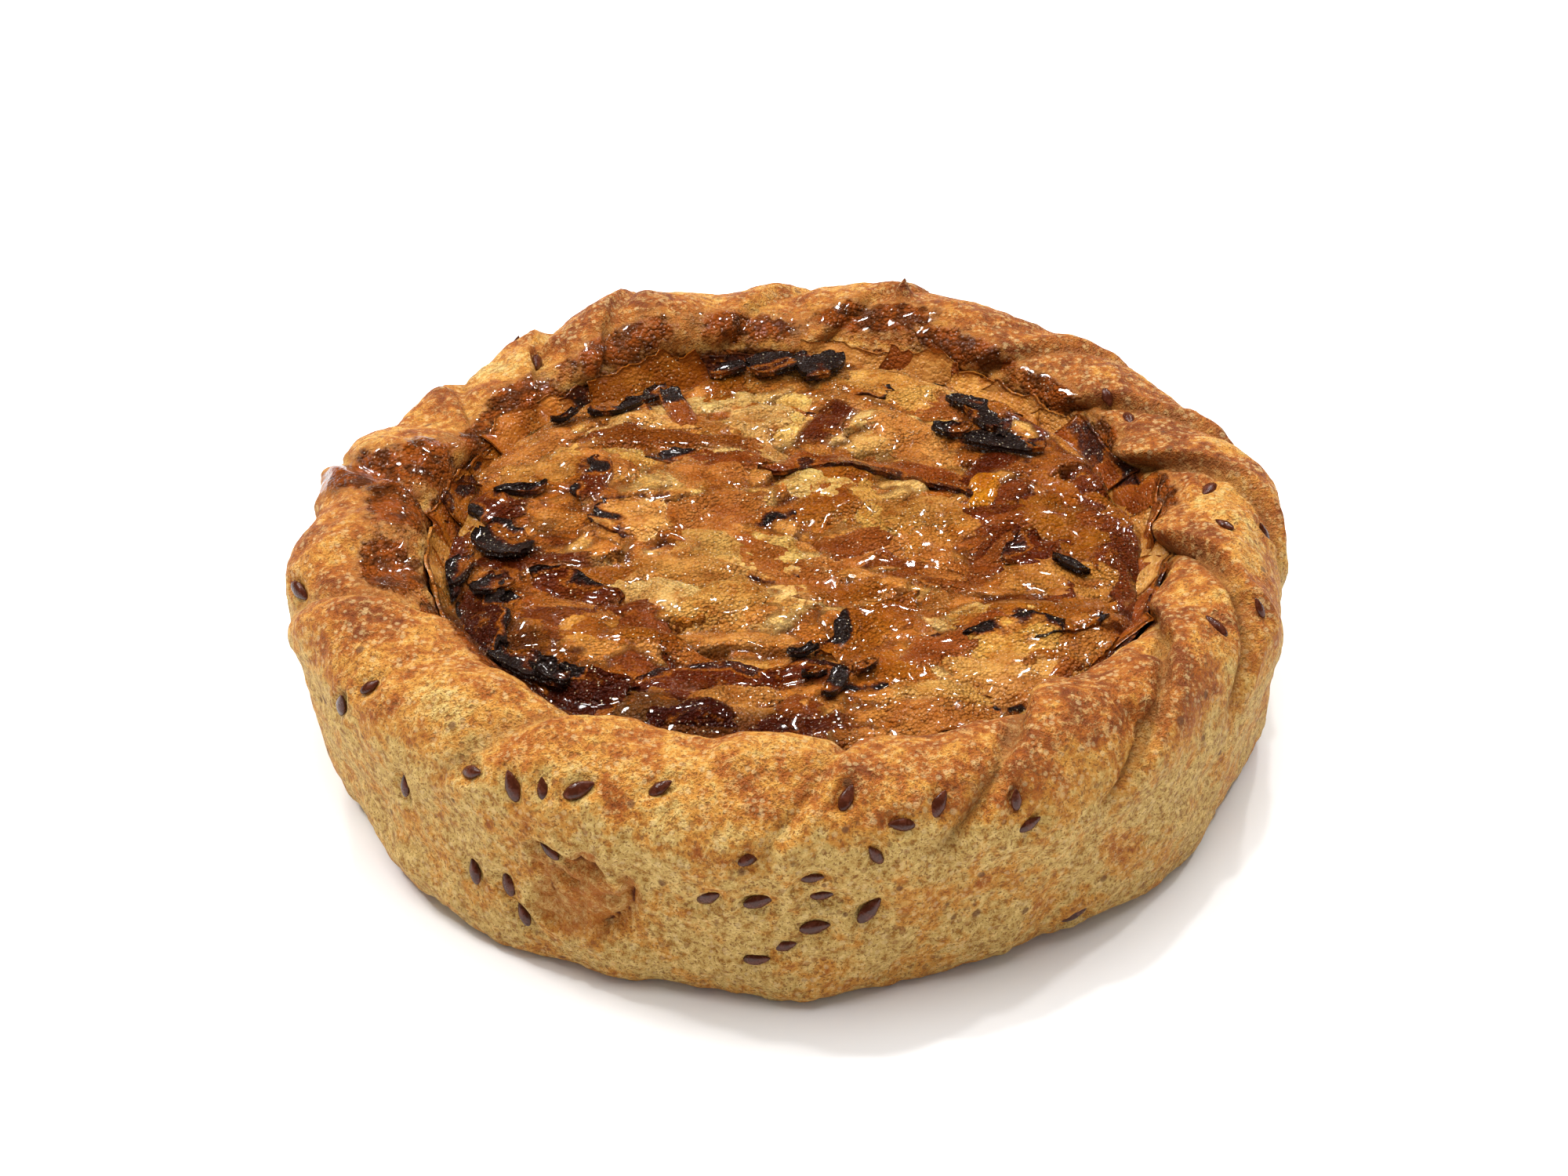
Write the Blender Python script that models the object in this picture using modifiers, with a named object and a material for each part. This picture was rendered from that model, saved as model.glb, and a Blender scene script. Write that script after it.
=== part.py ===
"""A small caramelised onion tart: a wholegrain pastry case with a folded rim, filled with onion pieces.

Sizes are in millimetres and angles in degrees, turned to metres where a mesh is made.
The tart stands on z = 0 with its middle on the z axis, and the front of the tart faces -Y.
"""

import math
import random

import bmesh
import bpy
import numpy as np
from mathutils import Matrix, Vector, noise

MM = 0.001

# Driving sizes of the pastry case
RIM_RADIUS = 65.0
BASE_RADIUS = 61.6
CREST_RADIUS = 57.0
CREST_HEIGHT = 31.2
MOUTH_RADIUS = 48.4
FLOOR_THICKNESS = 6.0
CASE_GAP = 0.3
# Moves the finished tart so that its bounding box stands centred on the z axis
MIDDLE_SHIFT = (0.59, -0.38)

# The case's section, from the middle of its inside floor, up and over the rim, to the middle of its base
CASE_SECTION = [
    (0.0, FLOOR_THICKNESS),
    (38.0, FLOOR_THICKNESS),
    (42.6, FLOOR_THICKNESS + 0.7),
    (45.2, 9.5),
    (46.7, 16.0),
    (MOUTH_RADIUS - 0.9, 22.5),
    (MOUTH_RADIUS, 26.4),
    (50.2, 29.2),
    (53.2, 30.8),
    (CREST_RADIUS, CREST_HEIGHT),
    (61.2, 29.7),
    (64.0, 26.8),
    (RIM_RADIUS, 23.2),
    (64.4, 18.0),
    (63.5, 11.0),
    (62.3, 4.2),
    (BASE_RADIUS - 0.9, 1.0),
    (BASE_RADIUS - 4.0, 0.0),
    (0.0, 0.0),
]
MOUTH_POINT = 6
SHOULDER_POINT = 12
SPAN_STEPS = 2

# One row for each fold of the rim: where its overlapping edge starts at the mouth and on the shoulder,
# how deep that edge is, how much its crest stands above the mean, and how far its tip leans in
FOLDS = [
    (20.0, -4.0, 2.6, 0.2, 2.4),
    (40.0, 16.0, 1.5, 0.8, 0.4),
    (57.0, 38.0, 1.7, 0.9, 0.0),
    (86.0, 68.0, 1.6, 0.0, 0.6),
    (101.0, 83.0, 1.9, 1.9, 0.0),
    (125.0, 106.0, 2.0, -0.6, 0.8),
    (138.0, 120.0, 2.2, -1.0, 1.0),
    (152.0, 136.0, 2.1, -0.4, 0.8),
    (174.0, 162.0, 2.4, 0.3, 0.0),
    (207.0, 192.0, 1.5, 0.4, 0.6),
    (242.0, 229.0, 1.5, 0.6, 1.0),
    (279.0, 266.0, 1.8, -0.6, 0.5),
    (305.0, 286.0, 2.3, 0.9, 0.6),
    (337.0, 305.0, 2.2, 0.0, 0.6),
    (355.0, 328.0, 2.4, 0.5, 3.0),
]
FOLD_COLUMNS = (0.0, 0.13, 0.3, 0.5, 0.7, 0.88)
RIDGE_PLACE = 0.13
RIDGE_MEAN = 0.58

# How far the tart is from a true circle, every 15 degrees from +X: base and shoulder moved out, crest lifted
BASE_OUT = [
    -0.5, -0.3, -0.2, -0.1, -0.1, 0.0, 0.0, 0.0, 0.0, -0.1, -0.1, -0.2,
    -0.3, -0.5, 0.6, 2.5, 2.0, 1.1, 1.8, -1.0, -1.5, 0.4, -1.2, 0.2,
]
SHOULDER_OUT = [
    -1.3, -0.2, -1.7, -0.9, -0.1, 1.8, 0.4, 1.7, 0.8, -1.3, -2.0, -1.4,
    0.0, 1.8, 0.7, 0.4, 0.2, 0.0, -0.1, -0.2, -0.4, -0.7, -1.1, -1.4,
]
CREST_LIFT = [
    -0.5, -1.5, -3.3, -2.9, -1.9, -0.7, -4.0, -1.2, 0.1, -2.7, -3.8, -0.8,
    -1.6, -0.7, -0.4, -0.3, -0.2, -0.1, -0.1, -0.1, -0.1, -0.1, -0.2, -0.3,
]

# Hollows in the rim where syrup has boiled over: angle, radius, half width, depth
RIM_POCKETS = [(193.0, 52.5, 5.5, 2.2), (171.0, 57.0, 4.0, 2.0), (146.0, 50.5, 3.5, 1.2)]

# Raised inner end of the front fold: angle, radius, half width, height
RAISED_TIPS = [(268.5, 50.0, 6.5, 1.9)]

# Linseeds that show in the pastry: angle, radius, height, turn
SEEN_SEEDS = [
    (210.5, 64.9, 23.2, 70), (214.5, 63.0, 28.5, 60), (222.0, 64.6, 18.2, 100), (233.0, 64.3, 26.6, 20),
    (239.0, 64.1, 27.1, 120), (242.6, 63.6, 27.9, 110), (246.5, 62.6, 28.9, 40), (255.0, 60.7, 30.6, 35),
    (287.5, 63.1, 28.6, 55), (283.5, 64.1, 27.0, 170), (332.0, 59.4, 31.0, 80), (353.0, 55.7, 31.8, 50),
    (232.8, 63.7, 11.4, 110), (237.5, 63.7, 11.7, 110), (239.5, 63.2, 7.9, 120), (243.5, 64.7, 19.4, 150),
    (261.0, 64.5, 17.1, 40), (266.5, 64.5, 17.1, 5), (273.5, 64.8, 20.6, 10), (275.0, 64.5, 17.5, 5),
    (274.0, 63.9, 13.1, 10), (270.0, 63.6, 10.5, 25), (266.0, 63.3, 8.2, 15), (281.0, 64.2, 15.2, 45),
    (281.5, 65.0, 23.4, 120), (265.5, 65.0, 23.7, 10), (297.5, 64.1, 27.3, 90), (301.5, 65.0, 23.9, 30),
    (276.5, 61.1, 30.4, 60), (313.0, 62.2, 3.8, 25), (35.0, 52.3, 31.1, 160), (30.0, 52.3, 31.1, 165),
    (5.5, 54.5, 31.7, 150), (335.5, 62.3, 29.2, 80), (356.5, 62.8, 28.7, 100), (130.0, 56.4, 31.9, 60),
]
HIDDEN_SEED_ANGLES = (12.0, 200.0)
HIDDEN_SEEDS = 20
SEED_SIZE = (4.2, 2.1, 1.3)
SEED_SINK = 0.2
SEED_RINGS = 4
SEED_SIDES = 6

# Filling
FILLING_HEIGHT = 24.6
FILLING_RINGS = (46.0, 43.0, 38.5, 33.0, 27.0, 21.0, 14.5, 7.5)
FILLING_EDGE_DROP = 1.2
FILLING_COLUMNS = 60
# Where the filling has shrunk from the case: angle, half width in degrees, gap
SHRINK_GAPS = [(15.0, 9.0, 4.2), (172.0, 12.0, 4.6), (128.0, 16.0, 2.4), (48.0, 15.0, 2.2)]

# Onion pieces that show: centre x, y, turn, length, width, bend, lift
ONION_PIECES = [
    (-16.6, 23.4, 2, 27, 5.6, -18, 0.5), (10.8, 16.8, -14, 30, 5.4, -30, 0.6), (-11.4, 13.6, 2, 11, 7.5, 0, 0.2),
    (-26.6, 12.4, 78, 13, 4.6, 15, 0.5), (2.7, 11.8, -30, 12, 7.0, 0, 0.0), (-21.0, 3.0, -12, 11, 8.0, 20, 0.3),
    (-14.0, -8.4, -10, 17, 7.0, 0, 0.2), (-9.6, -16.4, 30, 15, 8.0, 12, 0.0), (6.4, -12.6, 10, 13, 6.0, 10, 0.2),
    (9.4, -21.4, 48, 16, 7.0, -50, 0.7), (19.8, -24.6, 40, 21, 6.0, -12, 0.5), (27.6, -24.0, 12, 13, 7.0, 0, 0.5),
    (18.2, -35.0, 4, 13, 5.0, 0, 0.3), (27.6, -32.4, 32, 9, 5.0, 0, 0.2), (35.2, 3.0, -48, 16, 9.5, 25, 0.2),
    (44.0, 8.6, 66, 12, 4.6, 10, 1.0), (25.0, 10.6, 74, 8.5, 4.2, 0, 1.0), (27.6, 21.2, -18, 9, 3.8, 0, 1.8),
    (25.4, 28.6, -66, 9, 3.4, 20, 1.8), (31.0, -2.6, 70, 8, 4.6, 0, 0.8), (-2.6, 43.4, 30, 7, 5.0, 0, 2.0),
    (5.0, 43.6, 58, 8, 3.4, 0, 2.0), (-9.0, 40.0, 10, 5, 2.6, 0, 1.2), (-20.6, 37.6, 58, 7, 3.2, 20, 1.6),
    (-24.6, 32.6, 42, 10, 7.0, 25, 0.8), (-16.4, 31.6, -74, 11, 3.6, 25, 1.2), (-4.6, 30.6, 0, 10, 8.0, 0, 0.6),
    (4.6, 28.2, 60, 12, 5.6, 0, 0.6), (13.6, 37.4, -22, 15, 8.5, 0, 0.4), (26.6, 37.4, -50, 15, 6.0, 10, -0.3),
    (-39.4, 6.4, -44, 9, 7.5, 0, 0.6), (-34.4, 14.6, 8, 12, 8.0, 0, 0.3), (-38.0, -2.4, -58, 10, 5.0, 0, 1.4),
    (-43.6, -8.0, 70, 7, 3.8, 0, 1.4), (-39.6, -17.4, -78, 16, 6.4, 8, 1.0), (-27.8, -12.4, -24, 13, 4.6, -25, 1.2),
    (-33.4, -28.8, -36, 12, 3.8, 0, 0.8), (-24.4, -33.8, -20, 10, 5.0, 0, 0.8), (-12.6, -39.8, -6, 13, 5.0, 10, 0.6),
    (-6.6, -31.6, 4, 27, 4.6, -20, 0.5), (-21.6, -23.4, -14, 17, 5.4, 12, 0.3), (7.6, -1.0, 30, 11, 7.0, 0, 0.3),
    (16.6, 4.8, 12, 14, 8.5, 0, 0.0), (25.4, -4.6, 58, 15, 4.4, -15, 0.3), (-10.4, 4.8, 20, 17, 8.0, 0, 0.1),
    (37.0, -15.4, 38, 10, 6.5, 0, 0.0),
]
ONION_DEPTH = 4.0
ONION_STANDS = 0.75
ONION_LENGTH_STEPS = 4
ONION_WIDTH_STEPS = 2

PASTRY_COLOUR = (0.60, 0.33, 0.11, 1.0)
FILLING_COLOUR = (0.42, 0.17, 0.035, 1.0)


def smooth_step(x):
    x = np.clip(x, 0.0, 1.0)
    return x * x * (3.0 - 2.0 * x)


def smooth_section(points, steps):
    """Points of a curve that passes through the given ones, with straight ends."""
    padded = np.array([points[0], *points, points[-1]], float)
    found = []
    for i in range(1, len(padded) - 2):
        before, start, end, after = padded[i - 1 : i + 3]
        count = steps if MOUTH_POINT - 1 <= i - 1 < SHOULDER_POINT else 1
        for k in range(count):
            t = k / count
            found.append(
                0.5
                * (
                    2.0 * start
                    + (end - before) * t
                    + (2.0 * before - 5.0 * start + 4.0 * end - after) * t * t
                    + (3.0 * start - before - 3.0 * end + after) * t ** 3
                )
            )
    found.append(padded[-1])
    return np.array(found)


SECTION = smooth_section(CASE_SECTION, SPAN_STEPS)
SECTION_LENGTH = np.r_[0.0, np.cumsum(np.hypot(*np.diff(SECTION, axis=0).T))]


def length_at(point):
    """Distance along the section to one of the named points of CASE_SECTION."""
    gaps = np.hypot(*(SECTION - CASE_SECTION[point]).T)
    return float(SECTION_LENGTH[int(np.argmin(gaps))])


MOUTH_AT = length_at(MOUTH_POINT)
SHOULDER_AT = length_at(SHOULDER_POINT)
BASE_AT = length_at(len(CASE_SECTION) - 3)
FOOT_AT = length_at(len(CASE_SECTION) - 2)


def section_at(along):
    """Radius, height and outward direction of the plain section at a distance along it."""
    radius = np.interp(along, SECTION_LENGTH, SECTION[:, 0])
    height = np.interp(along, SECTION_LENGTH, SECTION[:, 1])
    step = 0.8
    back, on = along - step, along + step
    dr = np.interp(on, SECTION_LENGTH, SECTION[:, 0]) - np.interp(back, SECTION_LENGTH, SECTION[:, 0])
    dz = np.interp(on, SECTION_LENGTH, SECTION[:, 1]) - np.interp(back, SECTION_LENGTH, SECTION[:, 1])
    size = np.maximum(np.hypot(dr, dz), 1e-9)
    return radius, height, -dz / size, dr / size


def fold_rows():
    """The folds with the first one again at the end, one turn on."""
    first = FOLDS[0]
    return [*FOLDS, (first[0] + 360.0, first[1] + 360.0, *first[2:])]


def twisted(column, along):
    """Angle at which a column of the rim, named by its angle at the mouth, stands further out."""
    rows = np.array([row[:2] for row in fold_rows()])
    starts = np.r_[rows[:-1, 0] - 360.0, rows[:, 0]]
    twists = np.r_[rows[:-1, 1] - rows[:-1, 0], rows[:, 1] - rows[:, 0]]
    share = np.clip((along - MOUTH_AT) / (SHOULDER_AT - MOUTH_AT), 0.0, 1.0)
    return column + np.interp(column, starts, twists) * share


def fold_relief(column, along):
    """How far the folds push the pastry out of its plain section, and how much they lift its crest."""
    relief, lift, lean = np.zeros_like(column), np.zeros_like(column), np.zeros_like(column)
    rows = fold_rows()
    for here, after in zip(rows, rows[1:]):
        part = ((column - here[0]) % 360.0) / (after[0] - here[0])
        inside = part < 1.0
        ridge = smooth_step(part / RIDGE_PLACE) * (1.0 - np.clip(part, 0, 1)) ** 0.55 - RIDGE_MEAN
        tip = np.exp(-(((part - 1.6 * RIDGE_PLACE) / 0.2) ** 2))
        relief = np.where(inside, here[2] * ridge, relief)
        lift = np.where(inside, here[3] * (1 - part) + after[3] * part, lift)
        lean = np.where(inside, here[4] * tip, lean)
    over_rim = smooth_step((along - MOUTH_AT + 2.0) / 4.0) * (1.0 - smooth_step((along - SHOULDER_AT + 4.0) / 9.0))
    crest = np.exp(-(((along - 0.5 * (MOUTH_AT + SHOULDER_AT)) / 9.0) ** 2))
    inner = np.exp(-(((along - MOUTH_AT - 3.0) / 3.0) ** 2))
    return relief * over_rim, lift * crest, lean * inner


def round_table(values, angle):
    """A value given at even steps of angle, read between them."""
    steps = np.linspace(0.0, 360.0, len(values) + 1)
    return np.interp(angle % 360.0, steps, [*values, values[0]])


def uneven_outline(angle, along):
    """How far the case moves out, and up, from a true round at each angle."""
    low = smooth_step((along - SHOULDER_AT) / (BASE_AT - SHOULDER_AT))
    high = smooth_step((along - MOUTH_AT) / (SHOULDER_AT - MOUTH_AT)) * (1.0 - low)
    foot = np.clip((SECTION_LENGTH[-1] - along) / (SECTION_LENGTH[-1] - FOOT_AT), 0.0, 1.0)
    out = (round_table(BASE_OUT, angle) * low + round_table(SHOULDER_OUT, angle) * high) * foot
    crest = np.exp(-(((along - 0.5 * (MOUTH_AT + SHOULDER_AT)) / 9.0) ** 2))
    return out, round_table(CREST_LIFT, angle) * crest


def bumps(rows, angle, radius):
    """Sum of round bumps given as angle, radius, half width and height."""
    total = np.zeros_like(angle)
    for at, out, wide, high in rows:
        across = np.radians((angle - at + 180.0) % 360.0 - 180.0) * out
        total += high * np.exp(-((across / wide) ** 2) - ((radius - out) / wide) ** 2)
    return total


def wobble(points, scale, size, seed):
    """Smooth uneven noise at each point."""
    shift = Vector((seed * 17.3, seed * 5.1, seed * 9.7))
    return np.array([size * noise.noise(Vector(p) / scale + shift) for p in points])


def case_point(column, along):
    """Points of the pastry case, from columns in degrees at the mouth and distances along the section."""
    radius, height, out_r, out_z = section_at(along)
    angle = twisted(column, along)
    relief, lift, lean = fold_relief(column, along)
    on_rim = smooth_step((along - MOUTH_AT) / 3.0)
    hollow = bumps(RIM_POCKETS, angle, radius) * on_rim
    tips = bumps(RAISED_TIPS, angle, radius) * on_rim
    turn = np.radians(angle)
    plain = np.stack([radius * np.cos(turn), radius * np.sin(turn), height], 1)
    uneven = wobble(plain, 13.0, 0.9, 1.0) * on_rim * (height > 0.2)
    push = relief + uneven - hollow
    out, up = uneven_outline(angle, along)
    radius = radius + out_r * push - lean + out
    height = np.maximum(height + out_z * push + lift + tips + up, 0.0)
    return np.stack([radius * np.cos(turn), radius * np.sin(turn), height], 1)


def mouth_columns():
    """Angles at the mouth of the columns of the mesh, which follow the folds' edges."""
    rows = fold_rows()
    return np.array([a[0] + (b[0] - a[0]) * part for a, b in zip(rows, rows[1:]) for part in FOLD_COLUMNS])


def material(name, colour, roughness):
    made = bpy.data.materials.new(name)
    made.use_nodes = True
    shader = made.node_tree.nodes["Principled BSDF"]
    shader.inputs["Base Color"].default_value = colour
    shader.inputs["Roughness"].default_value = roughness
    shader.inputs["Metallic"].default_value = 0.0
    made.diffuse_color = colour
    return made


def collection(name, hidden=False):
    made = bpy.data.collections.new(name)
    bpy.context.scene.collection.children.link(made)
    made.hide_render = hidden
    return made


def turned_mesh(name, profile, steps):
    """A closed mesh turned from a profile of (radius, height) that runs down its outer side."""
    mesh = bpy.data.meshes.new(name)
    edges = [(i, i + 1) for i in range(len(profile) - 1)]
    mesh.from_pydata([(r * MM, 0.0, z * MM) for r, z in profile], edges, [])
    obj = bpy.data.objects.new(name, mesh)
    bpy.context.scene.collection.objects.link(obj)
    screw = obj.modifiers.new("Turn", "SCREW")
    screw.steps = steps
    screw.render_steps = steps
    screw.use_merge_vertices = True
    screw.merge_threshold = 0.00001
    bpy.context.view_layer.update()
    graph = bpy.context.evaluated_depsgraph_get()
    made = bpy.data.meshes.new_from_object(obj.evaluated_get(graph))
    bpy.data.objects.remove(obj)
    made.name = name
    return made


def mesh_points(mesh):
    points = np.empty(len(mesh.vertices) * 3)
    mesh.vertices.foreach_get("co", points)
    return points.reshape(-1, 3) / MM


def set_points(mesh, points):
    mesh.vertices.foreach_set("co", (points * MM).ravel())
    mesh.update()


def columns_and_stations(points, profile, count):
    """The column number and profile point number of each vertex of a freshly turned mesh."""
    radius = np.hypot(points[:, 0], points[:, 1])
    angle = np.degrees(np.arctan2(points[:, 1], points[:, 0])) % 360.0
    column = np.round(angle / (360.0 / count)).astype(int) % count
    gap = np.hypot(radius[:, None] - profile[None, :, 0], points[:, 2][:, None] - profile[None, :, 1])
    return column, np.argmin(gap, axis=1)


def pastry_case(columns):
    mesh = turned_mesh("pastry_case", SECTION, len(columns))
    points = mesh_points(mesh)
    column, station = columns_and_stations(points, SECTION, len(columns))
    set_points(mesh, case_point(columns[column], SECTION_LENGTH[station]))
    return mesh


def edge_gap(angle):
    """How far the filling has shrunk from the case at each angle."""
    gap = np.zeros_like(angle)
    for at, wide, deep in SHRINK_GAPS:
        off = (angle - at + 180.0) % 360.0 - 180.0
        gap += deep * np.exp(-((off / wide) ** 2))
    return gap


def filling_top(points):
    """Height of the onion bed under the pieces that lie on it."""
    radius = np.hypot(points[:, 0], points[:, 1])
    flat = np.stack([points[:, 0], points[:, 1], np.zeros(len(points))], 1)
    lumps = wobble(flat, 15.0, 1.5, 2.0) + wobble(flat, 6.5, 0.7, 3.0)
    return FILLING_HEIGHT + lumps - FILLING_EDGE_DROP * smooth_step((radius - 38.0) / 8.0)


def filling_core():
    """The onion bed: it fills the case to a fixed gap, and its top is uneven."""
    columns = np.arange(FILLING_COLUMNS) * 360.0 / FILLING_COLUMNS
    floor = CASE_SECTION[: MOUTH_POINT]
    side = [(max(r - CASE_GAP, 0.0), z + CASE_GAP) for r, z in floor]
    rings = [(r, FILLING_HEIGHT) for r in FILLING_RINGS]
    profile = np.array([(0.0, FILLING_HEIGHT), *rings[::-1], *side[::-1]], float)
    top_count = len(FILLING_RINGS) + 1
    mesh = turned_mesh("onion_filling", profile, len(columns))
    points = mesh_points(mesh)
    column, station = columns_and_stations(points, profile, len(columns))
    angle = columns[column]
    radius = profile[station, 0]
    height = profile[station, 1].copy()
    pulled = smooth_step((height - 10.0) / 10.0) * smooth_step((radius - 26.0) / 16.0)
    radius = radius - edge_gap(angle) * pulled
    turn = np.radians(angle)
    points = np.stack([radius * np.cos(turn), radius * np.sin(turn), height], 1)
    on_top = station < top_count
    points[on_top, 2] = filling_top(points[on_top])
    set_points(mesh, points)
    return mesh


def onion_piece(number, row):
    """One onion petal: a bent, tapered strip that follows the bed and is set half into it."""
    x, y, turn, length, width, bend, lift = row
    bpy.ops.mesh.primitive_grid_add(x_subdivisions=ONION_LENGTH_STEPS, y_subdivisions=ONION_WIDTH_STEPS, size=2.0)
    obj = bpy.context.object
    obj.name = f"onion_piece_{number}"
    grid = np.empty(len(obj.data.vertices) * 3)
    obj.data.vertices.foreach_get("co", grid)
    u, v = grid.reshape(-1, 3)[:, 0], grid.reshape(-1, 3)[:, 1]
    arc = math.radians(bend if abs(bend) > 1.0 else 1.0)
    spine = length / arc
    half = 0.5 * width * (1.0 - 0.35 * np.abs(u) ** 3)
    along = (spine - half * v) * np.sin(0.5 * arc * u)
    across = spine - (spine - half * v) * np.cos(0.5 * arc * u)
    turn = math.radians(turn)
    px = x + along * math.cos(turn) - across * math.sin(turn)
    py = y + along * math.sin(turn) + across * math.cos(turn)
    radius = np.hypot(px, py)
    angle = np.degrees(np.arctan2(py, px))
    limit = FILLING_RINGS[0] - 0.9 - edge_gap(angle)
    px, py = px * np.minimum(1.0, limit / radius), py * np.minimum(1.0, limit / radius)
    camber = 0.5 * (1.0 - v * v)
    top = filling_top(np.stack([px, py], 1)) + ONION_STANDS + lift + camber
    set_points(obj.data, np.stack([px, py, top], 1))
    thicken_down(obj.data, ONION_DEPTH + max(lift, 0.0))
    return obj


def thicken_down(mesh, depth):
    """Makes an open sheet a closed body that reaches straight down by the depth."""
    work = bmesh.new()
    work.from_mesh(mesh)
    made = bmesh.ops.extrude_face_region(work, geom=work.faces[:], use_keep_orig=True)["geom"]
    lower = [item for item in made if isinstance(item, bmesh.types.BMVert)]
    bmesh.ops.translate(work, verts=lower, vec=(0.0, 0.0, -depth * MM))
    bmesh.ops.recalc_face_normals(work, faces=work.faces)
    work.to_mesh(mesh)
    work.free()


def place_in(obj, home):
    for old in list(obj.users_collection):
        old.objects.unlink(obj)
    home.objects.link(obj)


def seed_rows():
    """Every linseed as (angle, radius, height, turn): those that show, then others round the back."""
    draw = random.Random(5)
    rows = list(SEEN_SEEDS)
    low, high = HIDDEN_SEED_ANGLES
    for k in range(HIDDEN_SEEDS):
        angle = low + (high - low) * (k + 0.15 + 0.7 * draw.random()) / HIDDEN_SEEDS
        rows.append((angle, RIM_RADIUS, 2.5 + 25.0 * draw.random(), 180.0 * draw.random()))
    return rows


def along_at(radius, height):
    """Distance along the plain section to its nearest place to a radius and height."""
    fine = np.linspace(MOUTH_AT, SECTION_LENGTH[-1], 800)
    gaps = np.hypot(np.interp(fine, SECTION_LENGTH, SECTION[:, 0]) - radius,
                    np.interp(fine, SECTION_LENGTH, SECTION[:, 1]) - height)
    return float(fine[int(np.argmin(gaps))])


def seed_frame(angle, radius, height, turn):
    """Where a seed lies on the case: its centre, with x along the seed and z out of the pastry."""
    along = along_at(radius, height)
    column = angle - (twisted(np.array([angle]), np.array([along]))[0] - angle)
    spots = case_point(
        np.array([column, column + 1.0, column]), np.array([along, along, along + 1.0])
    )
    side = Vector(spots[1] - spots[0]).normalized()
    down = Vector(spots[2] - spots[0]).normalized()
    out = down.cross(side).normalized()
    side = (side - out * side.dot(out)).normalized()
    long_way = Matrix.Rotation(math.radians(turn), 3, out) @ side
    wide_way = out.cross(long_way)
    centre = Vector(spots[0]) - out * SEED_SINK
    frame = Matrix((long_way, wide_way, out)).transposed().to_4x4()
    frame.translation = centre * MM
    return frame


def linseed(number, row):
    """A flat seed, round at one end and pointed at the other."""
    bpy.ops.mesh.primitive_uv_sphere_add(segments=SEED_SIDES, ring_count=SEED_RINGS, radius=0.5)
    obj = bpy.context.object
    obj.name = f"linseed_{number}"
    points = np.empty(len(obj.data.vertices) * 3)
    obj.data.vertices.foreach_get("co", points)
    points = points.reshape(-1, 3)[:, [2, 1, 0]] * (1.0, 1.0, -1.0)
    narrow = 1.0 - 0.45 * np.clip(points[:, 0] * 2.0, 0.0, 1.0)
    shaped = points * np.array(SEED_SIZE)
    shaped[:, 1] *= narrow
    set_points(obj.data, shaped)
    obj.data.transform(seed_frame(*row))
    return obj


def keep_main_body(mesh):
    """Removes the walls of hollows that the fusing has sealed, and any loose scrap."""
    work = bmesh.new()
    work.from_mesh(mesh)
    left = set(work.faces)
    bodies = []
    while left:
        body, waiting = set(), [left.pop()]
        while waiting:
            face = waiting.pop()
            body.add(face)
            near = {other for edge in face.edges for other in edge.link_faces} & left
            waiting += near
            left -= near
        bodies.append(body)
    bodies.sort(key=len)
    for body in bodies[:-1]:
        bmesh.ops.delete(work, geom=list(body), context="FACES")
    work.to_mesh(mesh)
    work.free()


def in_triangles(mesh):
    """Splits every face into triangles, which are always flat, so the fusing leaves no slivers."""
    work = bmesh.new()
    work.from_mesh(mesh)
    bmesh.ops.triangulate(work, faces=work.faces)
    work.to_mesh(mesh)
    work.free()


def fuse(obj, pieces, home):
    """Joins the pieces to the object with one Boolean union, applies it and removes the pieces."""
    in_triangles(obj.data)
    for piece in pieces:
        split = piece.modifiers.new("Flat faces", "TRIANGULATE")
        split.min_vertices = 4
    join = obj.modifiers.new("Fuse", "BOOLEAN")
    join.operation = "UNION"
    join.operand_type = "COLLECTION"
    join.collection = home
    join.solver = "MANIFOLD"
    bpy.context.view_layer.update()
    graph = bpy.context.evaluated_depsgraph_get()
    joined = bpy.data.meshes.new_from_object(obj.evaluated_get(graph))
    obj.modifiers.clear()
    obj.data = joined
    keep_main_body(joined)
    for piece in pieces:
        bpy.data.objects.remove(piece)
    bpy.data.collections.remove(home)


def node(name, mesh, home, look):
    obj = bpy.data.objects.new(name, mesh)
    home.objects.link(obj)
    mesh.materials.clear()
    mesh.materials.append(look)
    return obj


def finish(obj, look):
    obj.data.transform(Matrix.Translation((MIDDLE_SHIFT[0] * MM, MIDDLE_SHIFT[1] * MM, 0.0)))
    obj.data.materials.clear()
    obj.data.materials.append(look)
    obj.data.shade_smooth()
    obj.data.set_sharp_from_angle(angle=math.radians(50.0))


def build():
    for old in list(bpy.data.objects):
        bpy.data.objects.remove(old)
    home = collection("onion_tart")
    pastry = material("pastry", PASTRY_COLOUR, 0.75)
    onion = material("caramelised_onion", FILLING_COLOUR, 0.3)
    columns = mouth_columns()

    case = node("pastry_case", pastry_case(columns), home, pastry)
    seeds_home = collection("linseeds", hidden=True)
    seeds = [linseed(k, row) for k, row in enumerate(seed_rows())]
    for seed in seeds:
        place_in(seed, seeds_home)
    fuse(case, seeds, seeds_home)
    finish(case, pastry)

    filling = node("onion_filling", filling_core(), home, onion)
    onions_home = collection("onion_pieces", hidden=True)
    pieces = [onion_piece(k, row) for k, row in enumerate(ONION_PIECES)]
    for piece in pieces:
        place_in(piece, onions_home)
    fuse(filling, pieces, onions_home)
    finish(filling, onion)


build()
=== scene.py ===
"""Looks of a small caramelised onion tart: its folded case, linseeds, onion bed and onion pieces.

Sizes in the functions are in millimetres and angles in degrees; meshes are made in metres.
The tart stands on z = 0 and its front faces -Y.
"""

import math
import random

import bpy
import numpy as np
from bpy.props import FloatProperty, FloatVectorProperty, IntProperty, PointerProperty
from bpy.types import Operator, Panel, PropertyGroup
from mathutils import Matrix, Vector, noise


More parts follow.
